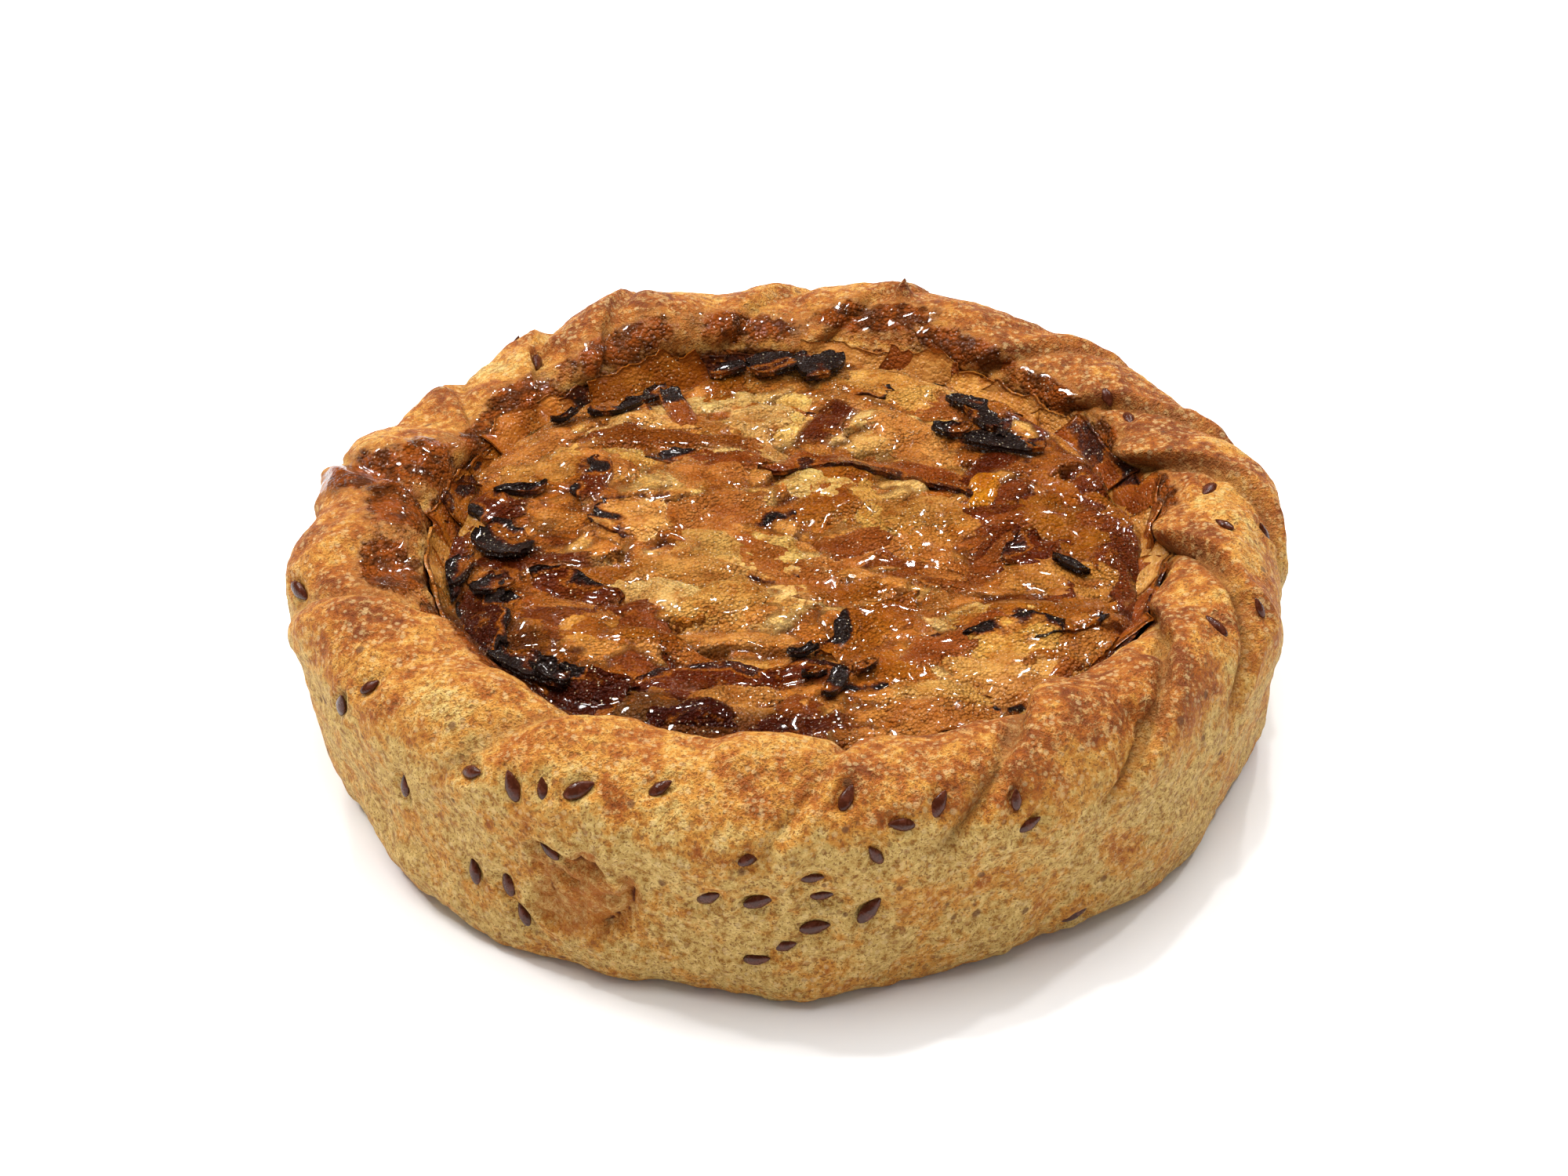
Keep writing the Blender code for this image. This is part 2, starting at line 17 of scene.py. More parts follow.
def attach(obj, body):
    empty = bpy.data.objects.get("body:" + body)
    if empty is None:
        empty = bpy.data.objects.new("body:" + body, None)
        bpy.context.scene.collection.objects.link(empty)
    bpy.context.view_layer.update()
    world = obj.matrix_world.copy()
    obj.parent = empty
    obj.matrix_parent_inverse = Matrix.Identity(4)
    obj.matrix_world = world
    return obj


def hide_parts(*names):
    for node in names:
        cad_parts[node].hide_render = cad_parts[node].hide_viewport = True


bl_info = {
    "name": "Caramelised onion tart",
    "version": (1, 0, 0),
    "blender": (4, 5, 0),
    "location": "3D View > Sidebar > Onion tart",
    "description": "A small deep onion tart with a folded rim, linseeds and a glazed onion filling",
    "category": "Add Mesh",
}

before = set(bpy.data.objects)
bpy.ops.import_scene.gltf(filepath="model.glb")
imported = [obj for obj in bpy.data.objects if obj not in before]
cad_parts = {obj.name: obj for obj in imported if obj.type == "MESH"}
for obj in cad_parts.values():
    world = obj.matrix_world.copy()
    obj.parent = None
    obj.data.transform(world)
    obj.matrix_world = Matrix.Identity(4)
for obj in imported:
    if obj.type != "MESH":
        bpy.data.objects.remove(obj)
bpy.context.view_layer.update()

MM = 0.001

# Driving sizes of the pastry case, as in the solids
RIM_RADIUS = 65.0
BASE_RADIUS = 61.6
CREST_RADIUS = 57.0
CREST_HEIGHT = 31.2
MOUTH_RADIUS = 48.4
FLOOR_THICKNESS = 6.0
MIDDLE_SHIFT = (0.59, -0.38)
CASE_SECTION = [
    (0.0, FLOOR_THICKNESS),
    (38.0, FLOOR_THICKNESS),
    (42.6, FLOOR_THICKNESS + 0.7),
    (45.2, 9.5),
    (46.7, 16.0),
    (MOUTH_RADIUS - 0.9, 22.5),
    (MOUTH_RADIUS, 26.4),
    (50.2, 29.2),
    (53.2, 30.8),
    (CREST_RADIUS, CREST_HEIGHT),
    (61.2, 29.7),
    (64.0, 26.8),
    (RIM_RADIUS, 23.2),
    (64.4, 18.0),
    (63.5, 11.0),
    (62.3, 4.2),
    (BASE_RADIUS - 0.9, 1.0),
    (BASE_RADIUS - 4.0, 0.0),
    (0.0, 0.0),
]
# Which points of the section are these places, and how many steps there are between two points
WALL_POINT = 3
MOUTH_POINT = 6
SHOULDER_POINT = 12
BASE_POINT = 16
FOOT_POINT = 17
SPAN_STEPS = 10

# One row for each fold of the rim: where its overlapping edge starts at the mouth and on the shoulder,
# how deep that edge is, how much its crest stands above the mean, and how far its tip leans in
FOLDS = [
    (20.0, -4.0, 2.6, 0.2, 2.4),
    (40.0, 16.0, 1.5, 0.8, 0.4),
    (57.0, 38.0, 1.7, 0.9, 0.0),
    (86.0, 68.0, 1.6, 0.0, 0.6),
    (101.0, 83.0, 1.9, 1.9, 0.0),
    (125.0, 106.0, 2.0, -0.6, 0.8),
    (138.0, 120.0, 2.2, -1.0, 1.0),
    (152.0, 136.0, 2.1, -0.4, 0.8),
    (174.0, 162.0, 2.4, 0.3, 0.0),
    (207.0, 192.0, 1.5, 0.4, 0.6),
    (242.0, 229.0, 1.5, 0.6, 1.0),
    (279.0, 266.0, 1.8, -0.6, 0.5),
    (305.0, 286.0, 2.3, 0.9, 0.6),
    (337.0, 305.0, 2.2, 0.0, 0.6),
    (355.0, 328.0, 2.4, 0.5, 3.0),
]
RIDGE_PLACE = 0.13
RIDGE_MEAN = 0.58
CREASE_DEPTH = 0.55
CREASE_WIDTH = 1.5
# Half width of the rim, along the section, over which its crest is lifted
CREST_REACH = 9.0
# Folds between these angles have faint creases, and how strong those are
FAINT_FOLDS = [(60.0, 185.0), (270.0, 300.0)]
FAINT_CREASE = 0.35
# The front of the rim, which is baked less: middle angle and half width in degrees
PALE_FRONT = (246.0, 46.0)

# How far the tart is from a true round, every 15 degrees from +X: its base and shoulder are moved out
# and its crest is lifted
BASE_OUT = [
    -0.5, -0.3, -0.2, -0.1, -0.1, 0.0, 0.0, 0.0, 0.0, -0.1, -0.1, -0.2,
    -0.3, -0.5, 0.6, 2.5, 2.0, 1.1, 1.8, -1.0, -1.5, 0.4, -1.2, 0.2,
]
SHOULDER_OUT = [
    -1.3, -0.2, -1.7, -0.9, -0.1, 1.8, 0.4, 1.7, 0.8, -1.3, -2.0, -1.4,
    0.0, 1.8, 0.7, 0.4, 0.2, 0.0, -0.1, -0.2, -0.4, -0.7, -1.1, -1.4,
]
CREST_LIFT = [
    -0.5, -1.5, -3.3, -2.9, -1.9, -0.7, -4.0, -1.2, 0.1, -2.7, -3.8, -0.8,
    -1.6, -0.7, -0.4, -0.3, -0.2, -0.1, -0.1, -0.1, -0.1, -0.1, -0.2, -0.3,
]

# Lobes and notches between those steps: angle, half width in degrees, shoulder moved out, crest lifted
LOBES = [
    (163.0, 5.5, 2.5, 1.0), (176.0, 3.5, -1.3, -0.3), (153.0, 3.0, -0.8, -0.8), (187.0, 4.5, 1.0, 0.3),
    (112.0, 5.5, 0.0, 1.7), (100.0, 4.0, 0.0, -0.9), (67.0, 6.0, 0.0, 0.9), (54.0, 3.5, 0.0, -0.9),
    (38.0, 10.0, 0.3, 0.4), (11.0, 8.0, 1.0, 0.5), (214.0, 8.0, 0.0, -0.8), (250.0, 8.0, 0.0, -0.9),
]

# Hollows in the rim where syrup has boiled over: angle, radius, half width, depth
RIM_POCKETS = [(193.0, 52.5, 5.5, 2.2), (171.0, 57.0, 4.0, 2.0), (146.0, 50.5, 3.5, 1.2)]
# Raised inner end of the front fold: angle, radius, half width, height
RAISED_TIPS = [(268.0, 50.5, 7.2, 1.9)]
# Thin spike of pastry that stands up on the back rim: angle, radius, half width, height
SPIKES = [(74.5, 57.5, 1.1, 3.4)]
# Small finger dents in the pastry: angle, radius, half width, depth
DENTS = [
    (312.5, 60.4, 1.7, 1.3), (325.0, 53.5, 2.0, 1.0), (232.0, 61.0, 2.4, 0.7), (345.0, 60.5, 2.2, 0.8),
    (217.0, 56.0, 3.5, 0.5), (252.0, 57.0, 4.0, 0.5), (296.0, 55.5, 2.4, 0.8), (12.0, 58.0, 2.2, 0.8),
]
# Torn, rougher patch on the front wall: angle, half width in degrees, lowest and highest height
TORN_PATCH = (247.2, 6.4, 7.0, 21.5)
# Open slits in that patch, as lines of angle and height
TORN_SLITS = [
    [(242.0, 19.9), (246.0, 19.3), (249.5, 18.3)],
    [(243.3, 17.2), (244.6, 16.9), (246.2, 16.0)],
    [(252.2, 18.4), (252.8, 14.5), (252.0, 12.2), (249.5, 10.0), (249.0, 8.4)],
    [(243.0, 14.6), (243.4, 12.4)],
]

# Syrup baked on to the rim: angle, radius, half widths in degrees and millimetres, strength
GLAZED_PLACES = [
    (78.0, 52.5, 10.0, 2.8, 1.1), (62.0, 50.0, 12.0, 1.9, 0.9), (98.0, 50.6, 11.0, 2.6, 0.8),
    (120.0, 50.2, 12.0, 3.2, 0.8), (140.0, 50.0, 9.0, 3.4, 1.1), (152.0, 49.5, 8.0, 3.0, 0.8),
    (170.0, 58.0, 4.5, 6.0, 1.3), (165.0, 51.0, 6.0, 4.0, 1.1), (178.0, 52.5, 8.0, 4.4, 1.0),
    (193.5, 52.2, 6.5, 3.8, 1.4), (45.0, 49.3, 10.0, 1.7, 0.9), (30.0, 48.6, 8.0, 1.7, 0.8),
    (206.0, 49.0, 9.0, 1.6, 0.8), (225.0, 49.4, 20.0, 1.8, 1.1), (247.0, 48.9, 13.0, 1.6, 1.0),
    (8.0, 48.8, 10.0, 1.9, 0.9), (350.0, 48.2, 10.0, 1.3, 0.6), (283.0, 49.0, 4.0, 2.2, 0.7),
]

# Places of the rim that are baked browner or paler: angle, radius, half widths in degrees and
# millimetres, change
BAKED_PLACES = [
    (293.0, 56.0, 14.0, 8.0, 0.50), (55.0, 58.0, 20.0, 9.0, 0.60), (352.0, 58.0, 14.0, 8.0, -0.30),
    (190.0, 58.0, 16.0, 8.0, 0.20), (27.0, 54.5, 7.0, 4.0, 0.90), (10.0, 53.0, 6.0, 3.5, 0.40),
    (41.0, 52.0, 9.0, 5.0, 0.40), (15.0, 50.5, 6.0, 3.0, 0.90), (270.0, 56.0, 14.0, 7.0, 0.16),
    (236.0, 57.0, 12.0, 4.0, 0.22), (205.0, 60.0, 8.0, 5.0, 0.20), (318.0, 54.0, 8.0, 4.0, 0.25),
]

# Steps between the points of the pastry's mesh, in degrees round it and in millimetres along the section
PASTRY_STEPS = (0.64, 0.62)

# Linseeds that show in the pastry: angle, radius, height, turn
SEEN_SEEDS = [
    (210.5, 64.9, 23.2, 70), (214.5, 63.0, 28.5, 60), (222.0, 64.6, 18.2, 100), (233.0, 64.3, 26.6, 20),
    (239.0, 64.1, 27.1, 120), (242.6, 63.6, 27.9, 110), (246.5, 62.6, 28.9, 40), (255.0, 60.7, 30.6, 35),
    (287.5, 63.1, 28.6, 55), (283.5, 64.1, 27.0, 170), (332.0, 59.4, 31.0, 80), (353.0, 55.7, 31.8, 50),
    (232.8, 63.7, 11.4, 110), (237.5, 63.7, 11.7, 110), (239.5, 63.2, 7.9, 120), (243.5, 64.7, 19.4, 150),
    (261.0, 64.5, 17.1, 40), (266.5, 64.5, 17.1, 5), (273.5, 64.8, 20.6, 10), (275.0, 64.5, 17.5, 5),
    (274.0, 63.9, 13.1, 10), (270.0, 63.6, 10.5, 25), (266.0, 63.3, 8.2, 15), (281.0, 64.2, 15.2, 45),
    (281.5, 65.0, 23.4, 120), (265.5, 65.0, 23.7, 10), (297.5, 64.1, 27.3, 90), (301.5, 65.0, 23.9, 30),
    (276.5, 61.1, 30.4, 60), (313.0, 62.2, 3.8, 25), (35.0, 52.3, 31.1, 160), (30.0, 52.3, 31.1, 165),
    (5.5, 54.5, 31.7, 150), (335.5, 62.3, 29.2, 80), (356.5, 62.8, 28.7, 100), (130.0, 56.4, 31.9, 60),
]
HIDDEN_SEED_ANGLES = (12.0, 200.0)
HIDDEN_SEEDS = 20
SEED_SIZE = (4.2, 2.1, 1.3)
SEED_SINK = 0.15
SEED_TILT = 15.0
SEED_SIDES = 14
SEED_RINGS = 10

# Filling
FILLING_HEIGHT = 24.6
FILLING_EDGE_RADIUS = 46.6
FILLING_EDGE_DROP = 1.2
# The bed's skirt goes down to the first of these heights, and no piece rises above the second
BED_BOTTOM = 9.5
PIECES_TOP = 27.7
BED_POINTS = 264
PETAL_STEP = 0.62
WALL_PETAL_POINTS = 15
# Painted light: the wall petals' tones are raised by this much, to stand in for light that shines through
# them in the shade of the case
WALL_PETAL_PAINTED_LIGHT = 1.12
GRAIN_HEIGHT = 0.03
# How far a pressed strip rises from one side to the other, and how much its middle is raised
STRIP_LEAN = 0.62
STRIP_SWELL = 0.35
# Where the filling has shrunk from the case: angle, half width in degrees, gap
SHRINK_GAPS = [(15.0, 9.0, 3.6), (172.0, 10.0, 2.8), (128.0, 16.0, 2.4), (48.0, 15.0, 2.2)]

# Named onion pieces: centre x, y, turn, length, width, bend, lift, tone, burnt edge
ONION_PIECES = [
    (-16.6, 23.4, 2, 27, 5.6, -18, 0.8, "brown", ""),
    (10.8, 16.8, -14, 30, 5.4, -30, 0.6, "brown", "near faint"),
    (-11.4, 13.6, 2, 11, 7.5, 0, 0.2, "caramel", ""),
    (-26.6, 12.4, 78, 13, 4.6, 15, 0.5, "dark", "far"),
    (2.7, 11.8, -30, 12, 7.0, 0, 0.0, "cream", ""),
    (-21.0, 3.0, -12, 11, 8.0, 20, 0.3, "pale", "start"),
    (-14.0, -8.4, -10, 17, 7.0, 0, 0.2, "tan", ""),
    (-9.6, -16.4, 30, 15, 8.0, 12, 0.0, "pale", ""),
    (6.4, -12.6, 10, 13, 6.0, 10, 0.2, "amber", ""),
    (9.4, -21.4, 48, 16, 7.0, -50, 0.7, "amber", "far"),
    (19.8, -24.6, 40, 21, 6.0, -12, 0.5, "brown", ""),
    (27.6, -24.0, 12, 13, 7.0, 0, 0.5, "pale", "far"),
    (18.2, -35.0, 4, 13, 5.0, 0, 0.3, "pale", ""),
    (27.6, -32.4, 32, 9, 5.0, 0, 0.2, "tan", ""),
    (35.2, 3.0, -48, 16, 9.5, 25, 0.2, "amber", ""),
    (44.0, 8.6, 66, 12, 4.6, 10, 1.0, "amber", ""),
    (25.0, 10.6, 74, 8.5, 4.2, 0, 1.0, "orange", ""),
    (27.6, 21.2, -18, 9, 3.8, 0, 1.8, "char", ""),
    (25.4, 28.6, -66, 9, 3.4, 20, 1.8, "char", ""),
    (31.0, -3.4, 66, 9, 6.6, 0, 0.8, "dark", "far faint"),
    (-3.4, 42.0, 20, 6, 5.6, 0, 2.6, "char", ""),
    (3.6, 41.6, 52, 8, 5.0, 0, 2.6, "char", ""),
    (-9.6, 41.0, 10, 5, 2.8, 0, 1.2, "char", ""),
    (-20.6, 37.6, 58, 7, 3.2, 20, 1.6, "char", ""),
    (-24.6, 32.6, 42, 10, 7.0, 25, 0.8, "amber", ""),
    (-16.4, 31.6, -74, 11, 3.6, 25, 1.2, "brown", "start"),
    (-4.6, 30.6, 0, 10, 8.0, 0, 0.6, "cream", ""),
    (4.6, 28.2, 60, 12, 5.6, 0, 0.6, "dark", ""),
    (13.6, 37.4, -22, 15, 8.5, 0, 0.4, "pale", ""),
    (26.6, 37.4, -50, 15, 6.0, 10, -0.3, "amber", ""),
    (-39.4, 6.4, -44, 9, 7.5, 0, 0.6, "dark", "near"),
    (-34.4, 14.6, 8, 12, 8.0, 0, 0.3, "tan", ""),
    (-38.0, -2.4, -50, 8.5, 6.0, 0, 1.2, "char", ""),
    (-43.6, -8.0, 70, 7, 3.8, 0, 1.4, "char", ""),
    (-39.6, -17.4, -78, 16, 6.4, 8, 1.0, "dark", "far"),
    (-27.8, -12.4, -24, 13, 4.6, -25, 1.2, "dark", "far"),
    (-33.4, -28.8, -36, 12, 3.8, 0, 0.8, "char", ""),
    (-24.4, -33.8, -20, 10, 5.0, 0, 0.8, "dark", "far"),
    (-12.6, -39.8, -6, 13, 5.0, 10, 0.6, "syrup", ""),
    (-6.6, -31.6, 4, 27, 4.6, -20, 0.5, "dark", "far faint"),
    (-21.6, -23.4, -14, 17, 5.4, 12, 0.3, "amber", ""),
    (7.6, -1.0, 30, 11, 7.0, 0, 0.3, "brown", ""),
    (16.6, 4.8, 12, 14, 8.5, 0, 0.0, "tan", ""),
    (25.4, -4.6, 58, 15, 4.4, -15, 0.3, "brown", ""),
    (-10.4, 4.8, 20, 17, 8.0, 0, 0.1, "caramel", ""),
    (37.0, -15.4, 38, 10, 6.5, 0, 0.0, "amber", ""),
]

# Pool of dark syrup at the filling's edge: middle angle, half width in degrees, inner radius
SYRUP_POOL = (236.0, 32.0, 37.6)
# Paler and darker places in the onion: x, y, half width, change
TONED_PLACES = [
    (2.0, 14.0, 16.0, 0.20), (-10.0, -12.0, 15.0, 0.18), (20.0, -30.0, 13.0, 0.13),
    (-4.0, 31.0, 9.0, 0.35), (12.0, 36.0, 10.0, 0.25), (-34.0, 12.0, 12.0, -0.10),
    (-38.0, -10.0, 12.0, -0.35), (-26.0, -32.0, 14.0, -0.45), (-4.0, -42.0, 12.0, -0.30),
    (37.0, 2.0, 13.0, -0.55), (-24.0, 24.0, 11.0, 0.15), (28.0, 26.0, 9.0, -0.10),
    (17.0, 4.0, 9.0, 0.22), (-20.0, 2.0, 9.0, 0.18), (44.0, -12.0, 10.0, -0.30),
    (0.0, -24.0, 11.0, 0.42), (-26.0, 6.0, 12.0, 0.45), (28.0, -2.0, 9.0, -0.42),
]

# Loose charred flakes: x, y, turn, length, width, lift
CHARRED_FLAKES = [
    (1.0, -27.2, 20, 3.4, 2.2, 1.0), (5.2, -34.6, 62, 5.6, 2.0, 1.2), (8.6, -31.0, 40, 3.6, 1.4, 1.2),
    (2.4, -32.4, 10, 3.0, 1.4, 1.0), (0.2, 43.0, 30, 4.0, 2.6, 1.8), (-24.6, 29.6, 24, 7.6, 1.6, 1.2),
    (-31.4, 28.0, 40, 4.0, 1.6, 1.2), (35.6, -6.0, -16, 4.4, 2.0, 1.0), (-36.4, 9.4, 10, 6.4, 1.6, 1.0),
    (23.4, 31.4, -30, 5.4, 2.0, 1.6), (31.4, 20.4, -8, 4.4, 2.6, 1.8), (21.4, 24.6, 12, 5.0, 1.8, 1.2),
    (-45.0, -12.6, 40, 4.0, 2.4, 1.2), (-38.4, -12.6, 30, 5.0, 3.0, 1.2), (-30.0, -31.6, -30, 5.0, 2.2, 1.0),
    (28.4, 24.4, 70, 4.2, 1.6, 1.8),
]

# Linear colours of the onion's tones
TONES = {
    "cream": (0.70, 0.44, 0.145),
    "pale": (0.62, 0.315, 0.070),
    "tan": (0.52, 0.220, 0.046),
    "caramel": (0.43, 0.150, 0.024),
    "amber": (0.34, 0.100, 0.009),
    "orange": (0.60, 0.210, 0.008),
    "brown": (0.26, 0.064, 0.009),
    "dark": (0.120, 0.020, 0.003),
    "syrup": (0.040, 0.005, 0.0015),
    "char": (0.060, 0.012, 0.006),
}
GLOWING_COLOUR = (0.36, 0.095, 0.008)
SCORCHED_COLOUR = (0.075, 0.014, 0.005)
BURNT_COLOUR = (0.017, 0.0095, 0.0075)
EDGE_COLOUR = (0.130, 0.026, 0.005)
# Painted glints: pale flecks put in the colour of the syrup and the onion, which stand in for their tiny
# highlights
PAINTED_GLINT_COLOUR = (1.0, 0.84, 0.56)
# Strewn onion strips: how far from the middle they lie, where the outer ones follow the edge, how far turns
# and tones spread, the shares that are amber or burnt, and the ranges of length and width
STREWN_RADIUS = 46.0
EDGE_RING = 40.0
TURN_SPREAD = 42.0
EDGE_TURN_SPREAD = 15.0
TONE_SPREAD = 0.24
AMBER_SHARE = 0.12
BURNT_SHARE = 0.06
STRIP_LENGTHS = (8.0, 22.0)
STRIP_WIDTHS = (3.6, 10.0)
STRIP_BEND = 45.0
FLAKE_BEND = 40.0
# Petals against the wall, at the back and at the front: the ranges of how far they reach over the lip,
# of their width and of the angle to the next one
BACK_WALL_PETALS = ((-2.5, 1.5), (13.0, 25.0), (5.5, 9.5))
FRONT_WALL_PETALS = ((-2.5, 0.5), (6.0, 12.0), (7.0, 13.0))
WALL_PETALS_FROM = -30.0
WALL_PETALS_FRONT = 205.0
WALL_PETAL_STANDS = (2.0, 6.0)
WALL_PETAL_BURNT_SHARE = 0.4
WALL_PETAL_TONES = ("amber", "amber", "caramel", "brown", "tan", "pale", "brown")
# Seeds of the random draws
DRAW_SEEDS = {
    "far seeds": 5, "sunk seeds": 8, "strips": 3, "pressing": 9, "pieces": 21, "flakes": 33, "wall": 47,
}

# Tones of the bed and its loose pieces, from the darkest to the palest
BED_TONES = ("dark", "brown", "caramel", "tan", "caramel", "pale", "cream")

# Linear colours of the pastry that have no setting of their own
OVERBAKED_COLOUR = (0.17, 0.036, 0.007)
LIGHT_CRUMB_COLOUR = (0.88, 0.62, 0.24)
DARK_CRUMB_TINT = (0.62, 0.43, 0.22)
FRECKLE_COLOUR = (0.22, 0.080, 0.018)
FLOUR_COLOUR = (0.74, 0.52, 0.24)
FINE_BRAN_COLOUR = (0.30, 0.115, 0.030)
TORN_COLOUR = (0.40, 0.112, 0.013)
# Painted shade, in the slits of the torn patch and in the creases of the folds
SLIT_SHADE_COLOUR = (0.085, 0.018, 0.005)
CREASE_SHADE_COLOUR = (0.24, 0.100, 0.024)
THIN_SYRUP_COLOUR = (0.24, 0.045, 0.004)
STAIN_COLOUR = (0.40, 0.150, 0.022)
# What an onion's tone is multiplied by on its bright and deep fibres, and where syrup stains it
BRIGHT_TINT = (1.12, 1.14, 1.18)
DEEP_TINT = (0.90, 0.83, 0.74)
STAIN_TINT = (0.60, 0.36, 0.16)


def colour_setting(name, description, default):
    return FloatVectorProperty(
        name=name, description=description, subtype="COLOR", size=3, default=default, min=0.0, max=1.0,
    )


def length_setting(name, description, default, least, most):
    return FloatProperty(
        name=name, description=description, subtype="DISTANCE", unit="LENGTH", default=default,
        min=least, max=most,
    )


def power_setting(name, description, default):
    return FloatProperty(name=name, description=description, unit="POWER", default=default, min=0.0)


class PastrySettings(PropertyGroup):
    wall_colour: colour_setting("Wall colour", "Palest pastry, low on the wall", (0.58, 0.365, 0.105))
    crust_colour: colour_setting("Crust colour", "Golden pastry", (0.60, 0.265, 0.042))
    baked_colour: colour_setting("Baked colour", "Brownest pastry, on the crest", (0.40, 0.112, 0.013))
    bran_colour: colour_setting("Bran colour", "Dark flecks of bran", (0.16, 0.062, 0.022))
    syrup_colour: colour_setting("Syrup colour", "Onion syrup baked on to the rim", (0.060, 0.009, 0.002))
    crumb: length_setting("Crumb", "Height of the finest crumb on the pastry", 0.0007, 0.0, 0.002)


class SeedSettings(PropertyGroup):
    colour: colour_setting("Seed colour", "Colour of a linseed", (0.056, 0.0125, 0.005))


class FillingSettings(PropertyGroup):
    pressed_strips: IntProperty(
        name="Pressed strips", description="Onion strips pressed into the bed", default=330, min=0, max=900,
    )
    loose_pieces: IntProperty(
        name="Loose pieces", description="Onion pieces strewn over the bed under the named ones",
        default=70, min=0, max=600,
    )
    thickness: length_setting("Onion thickness", "Thickness of one onion layer", 0.0007, 0.0003, 0.003)
    grain: length_setting("Wet grain", "Height of the fine wet grain on the onion", 0.00042, 0.0, 0.001)


class StageSettings(PropertyGroup):
    floor_colour: colour_setting("Floor colour", "Plain pale floor", (0.93, 0.93, 0.93))
    key_power: power_setting("Key light", "Power of the light at the upper left", 20.0)
    fill_power: power_setting("Fill light", "Power of the soft light over the tart", 48.0)
    spark_power: power_setting("Spark lights", "Power of each small light that glints on the syrup", 7.0)
    lens: FloatProperty(
        name="Lens", description="Focal length on a 36 mm wide sensor, in millimetres", default=77.5,
        min=20.0, max=300.0,
    )


def smooth_step(x):
    x = np.clip(x, 0.0, 1.0)
    return x * x * (3.0 - 2.0 * x)


def bell(offset, half_width):
    """1 in the middle, falling off smoothly at about a half width."""
    return np.exp(-((offset / half_width) ** 2))


def blend(first, second, share):
    return first * (1.0 - share) + second * share


def flat_points(x, y):
    """Points on the ground from their two coordinates."""
    return np.stack([np.ravel(x), np.ravel(y), np.zeros(np.size(x))], 1)


def smooth_section(points, steps):
    """Points of a curve through the given ones, whose tangents fit the length of each span."""
    points = np.array(points, float)
    steps_on = np.diff(points, axis=0)
    spans = np.hypot(*steps_on.T)[:, None]
    slopes = steps_on / spans
    inner = (slopes[:-1] * spans[1:] + slopes[1:] * spans[:-1]) / (spans[:-1] + spans[1:])
    tangents = np.vstack([slopes[:1], inner, slopes[-1:]])
    t = (np.arange(steps) / steps)[:, None]
    found = []
    for i, span in enumerate(spans):
        found.append(
            (2.0 * t**3 - 3.0 * t**2 + 1.0) * points[i]
            + (t**3 - 2.0 * t**2 + t) * span * tangents[i]
            + (3.0 * t**2 - 2.0 * t**3) * points[i + 1]
            + (t**3 - t**2) * span * tangents[i + 1]
        )
    return np.vstack([*found, points[-1:]])


SECTION = smooth_section(CASE_SECTION, SPAN_STEPS)
SECTION_LENGTH = np.r_[0.0, np.cumsum(np.hypot(*np.diff(SECTION, axis=0).T))]
WALL_AT, MOUTH_AT, SHOULDER_AT, BASE_AT, FOOT_AT = (
    float(SECTION_LENGTH[point * SPAN_STEPS])
    for point in (WALL_POINT, MOUTH_POINT, SHOULDER_POINT, BASE_POINT, FOOT_POINT)
)
RIM_MIDDLE = 0.5 * (MOUTH_AT + SHOULDER_AT)


def section_at(along):
    """Radius, height and outward direction of the plain section at a distance along it."""
    radius = np.interp(along, SECTION_LENGTH, SECTION[:, 0])
    height = np.interp(along, SECTION_LENGTH, SECTION[:, 1])
    step = 0.8
    back, on = along - step, along + step
    dr = np.interp(on, SECTION_LENGTH, SECTION[:, 0]) - np.interp(back, SECTION_LENGTH, SECTION[:, 0])
    dz = np.interp(on, SECTION_LENGTH, SECTION[:, 1]) - np.interp(back, SECTION_LENGTH, SECTION[:, 1])
    size = np.maximum(np.hypot(dr, dz), 1e-9)
    return radius, height, -dz / size, dr / size


def angle_off(angle, at):
    return (angle - at + 180.0) % 360.0 - 180.0


def fold_rows():
    """The folds with the first one again at the end, one turn on."""
    first = FOLDS[0]
    return [*FOLDS, (first[0] + 360.0, first[1] + 360.0, *first[2:])]


def twisted(column, along):
    """Angle at which a column of the rim, named by its angle at the mouth, stands further out."""
    rows = np.array([row[:2] for row in fold_rows()])
    starts = np.r_[rows[:-1, 0] - 360.0, rows[:, 0]]
    twists = np.r_[rows[:-1, 1] - rows[:-1, 0], rows[:, 1] - rows[:, 0]]
    share = np.clip((along - MOUTH_AT) / (SHOULDER_AT - MOUTH_AT), 0.0, 1.0)
    return column + np.interp(column, starts, twists) * share


def over_rim(along):
    """1 over the rim, fading out on the wall and inside the mouth."""
    inner = smooth_step((along - MOUTH_AT + 2.0) / 4.0)
    return inner * (1.0 - smooth_step((along - SHOULDER_AT + 4.0) / 9.0))


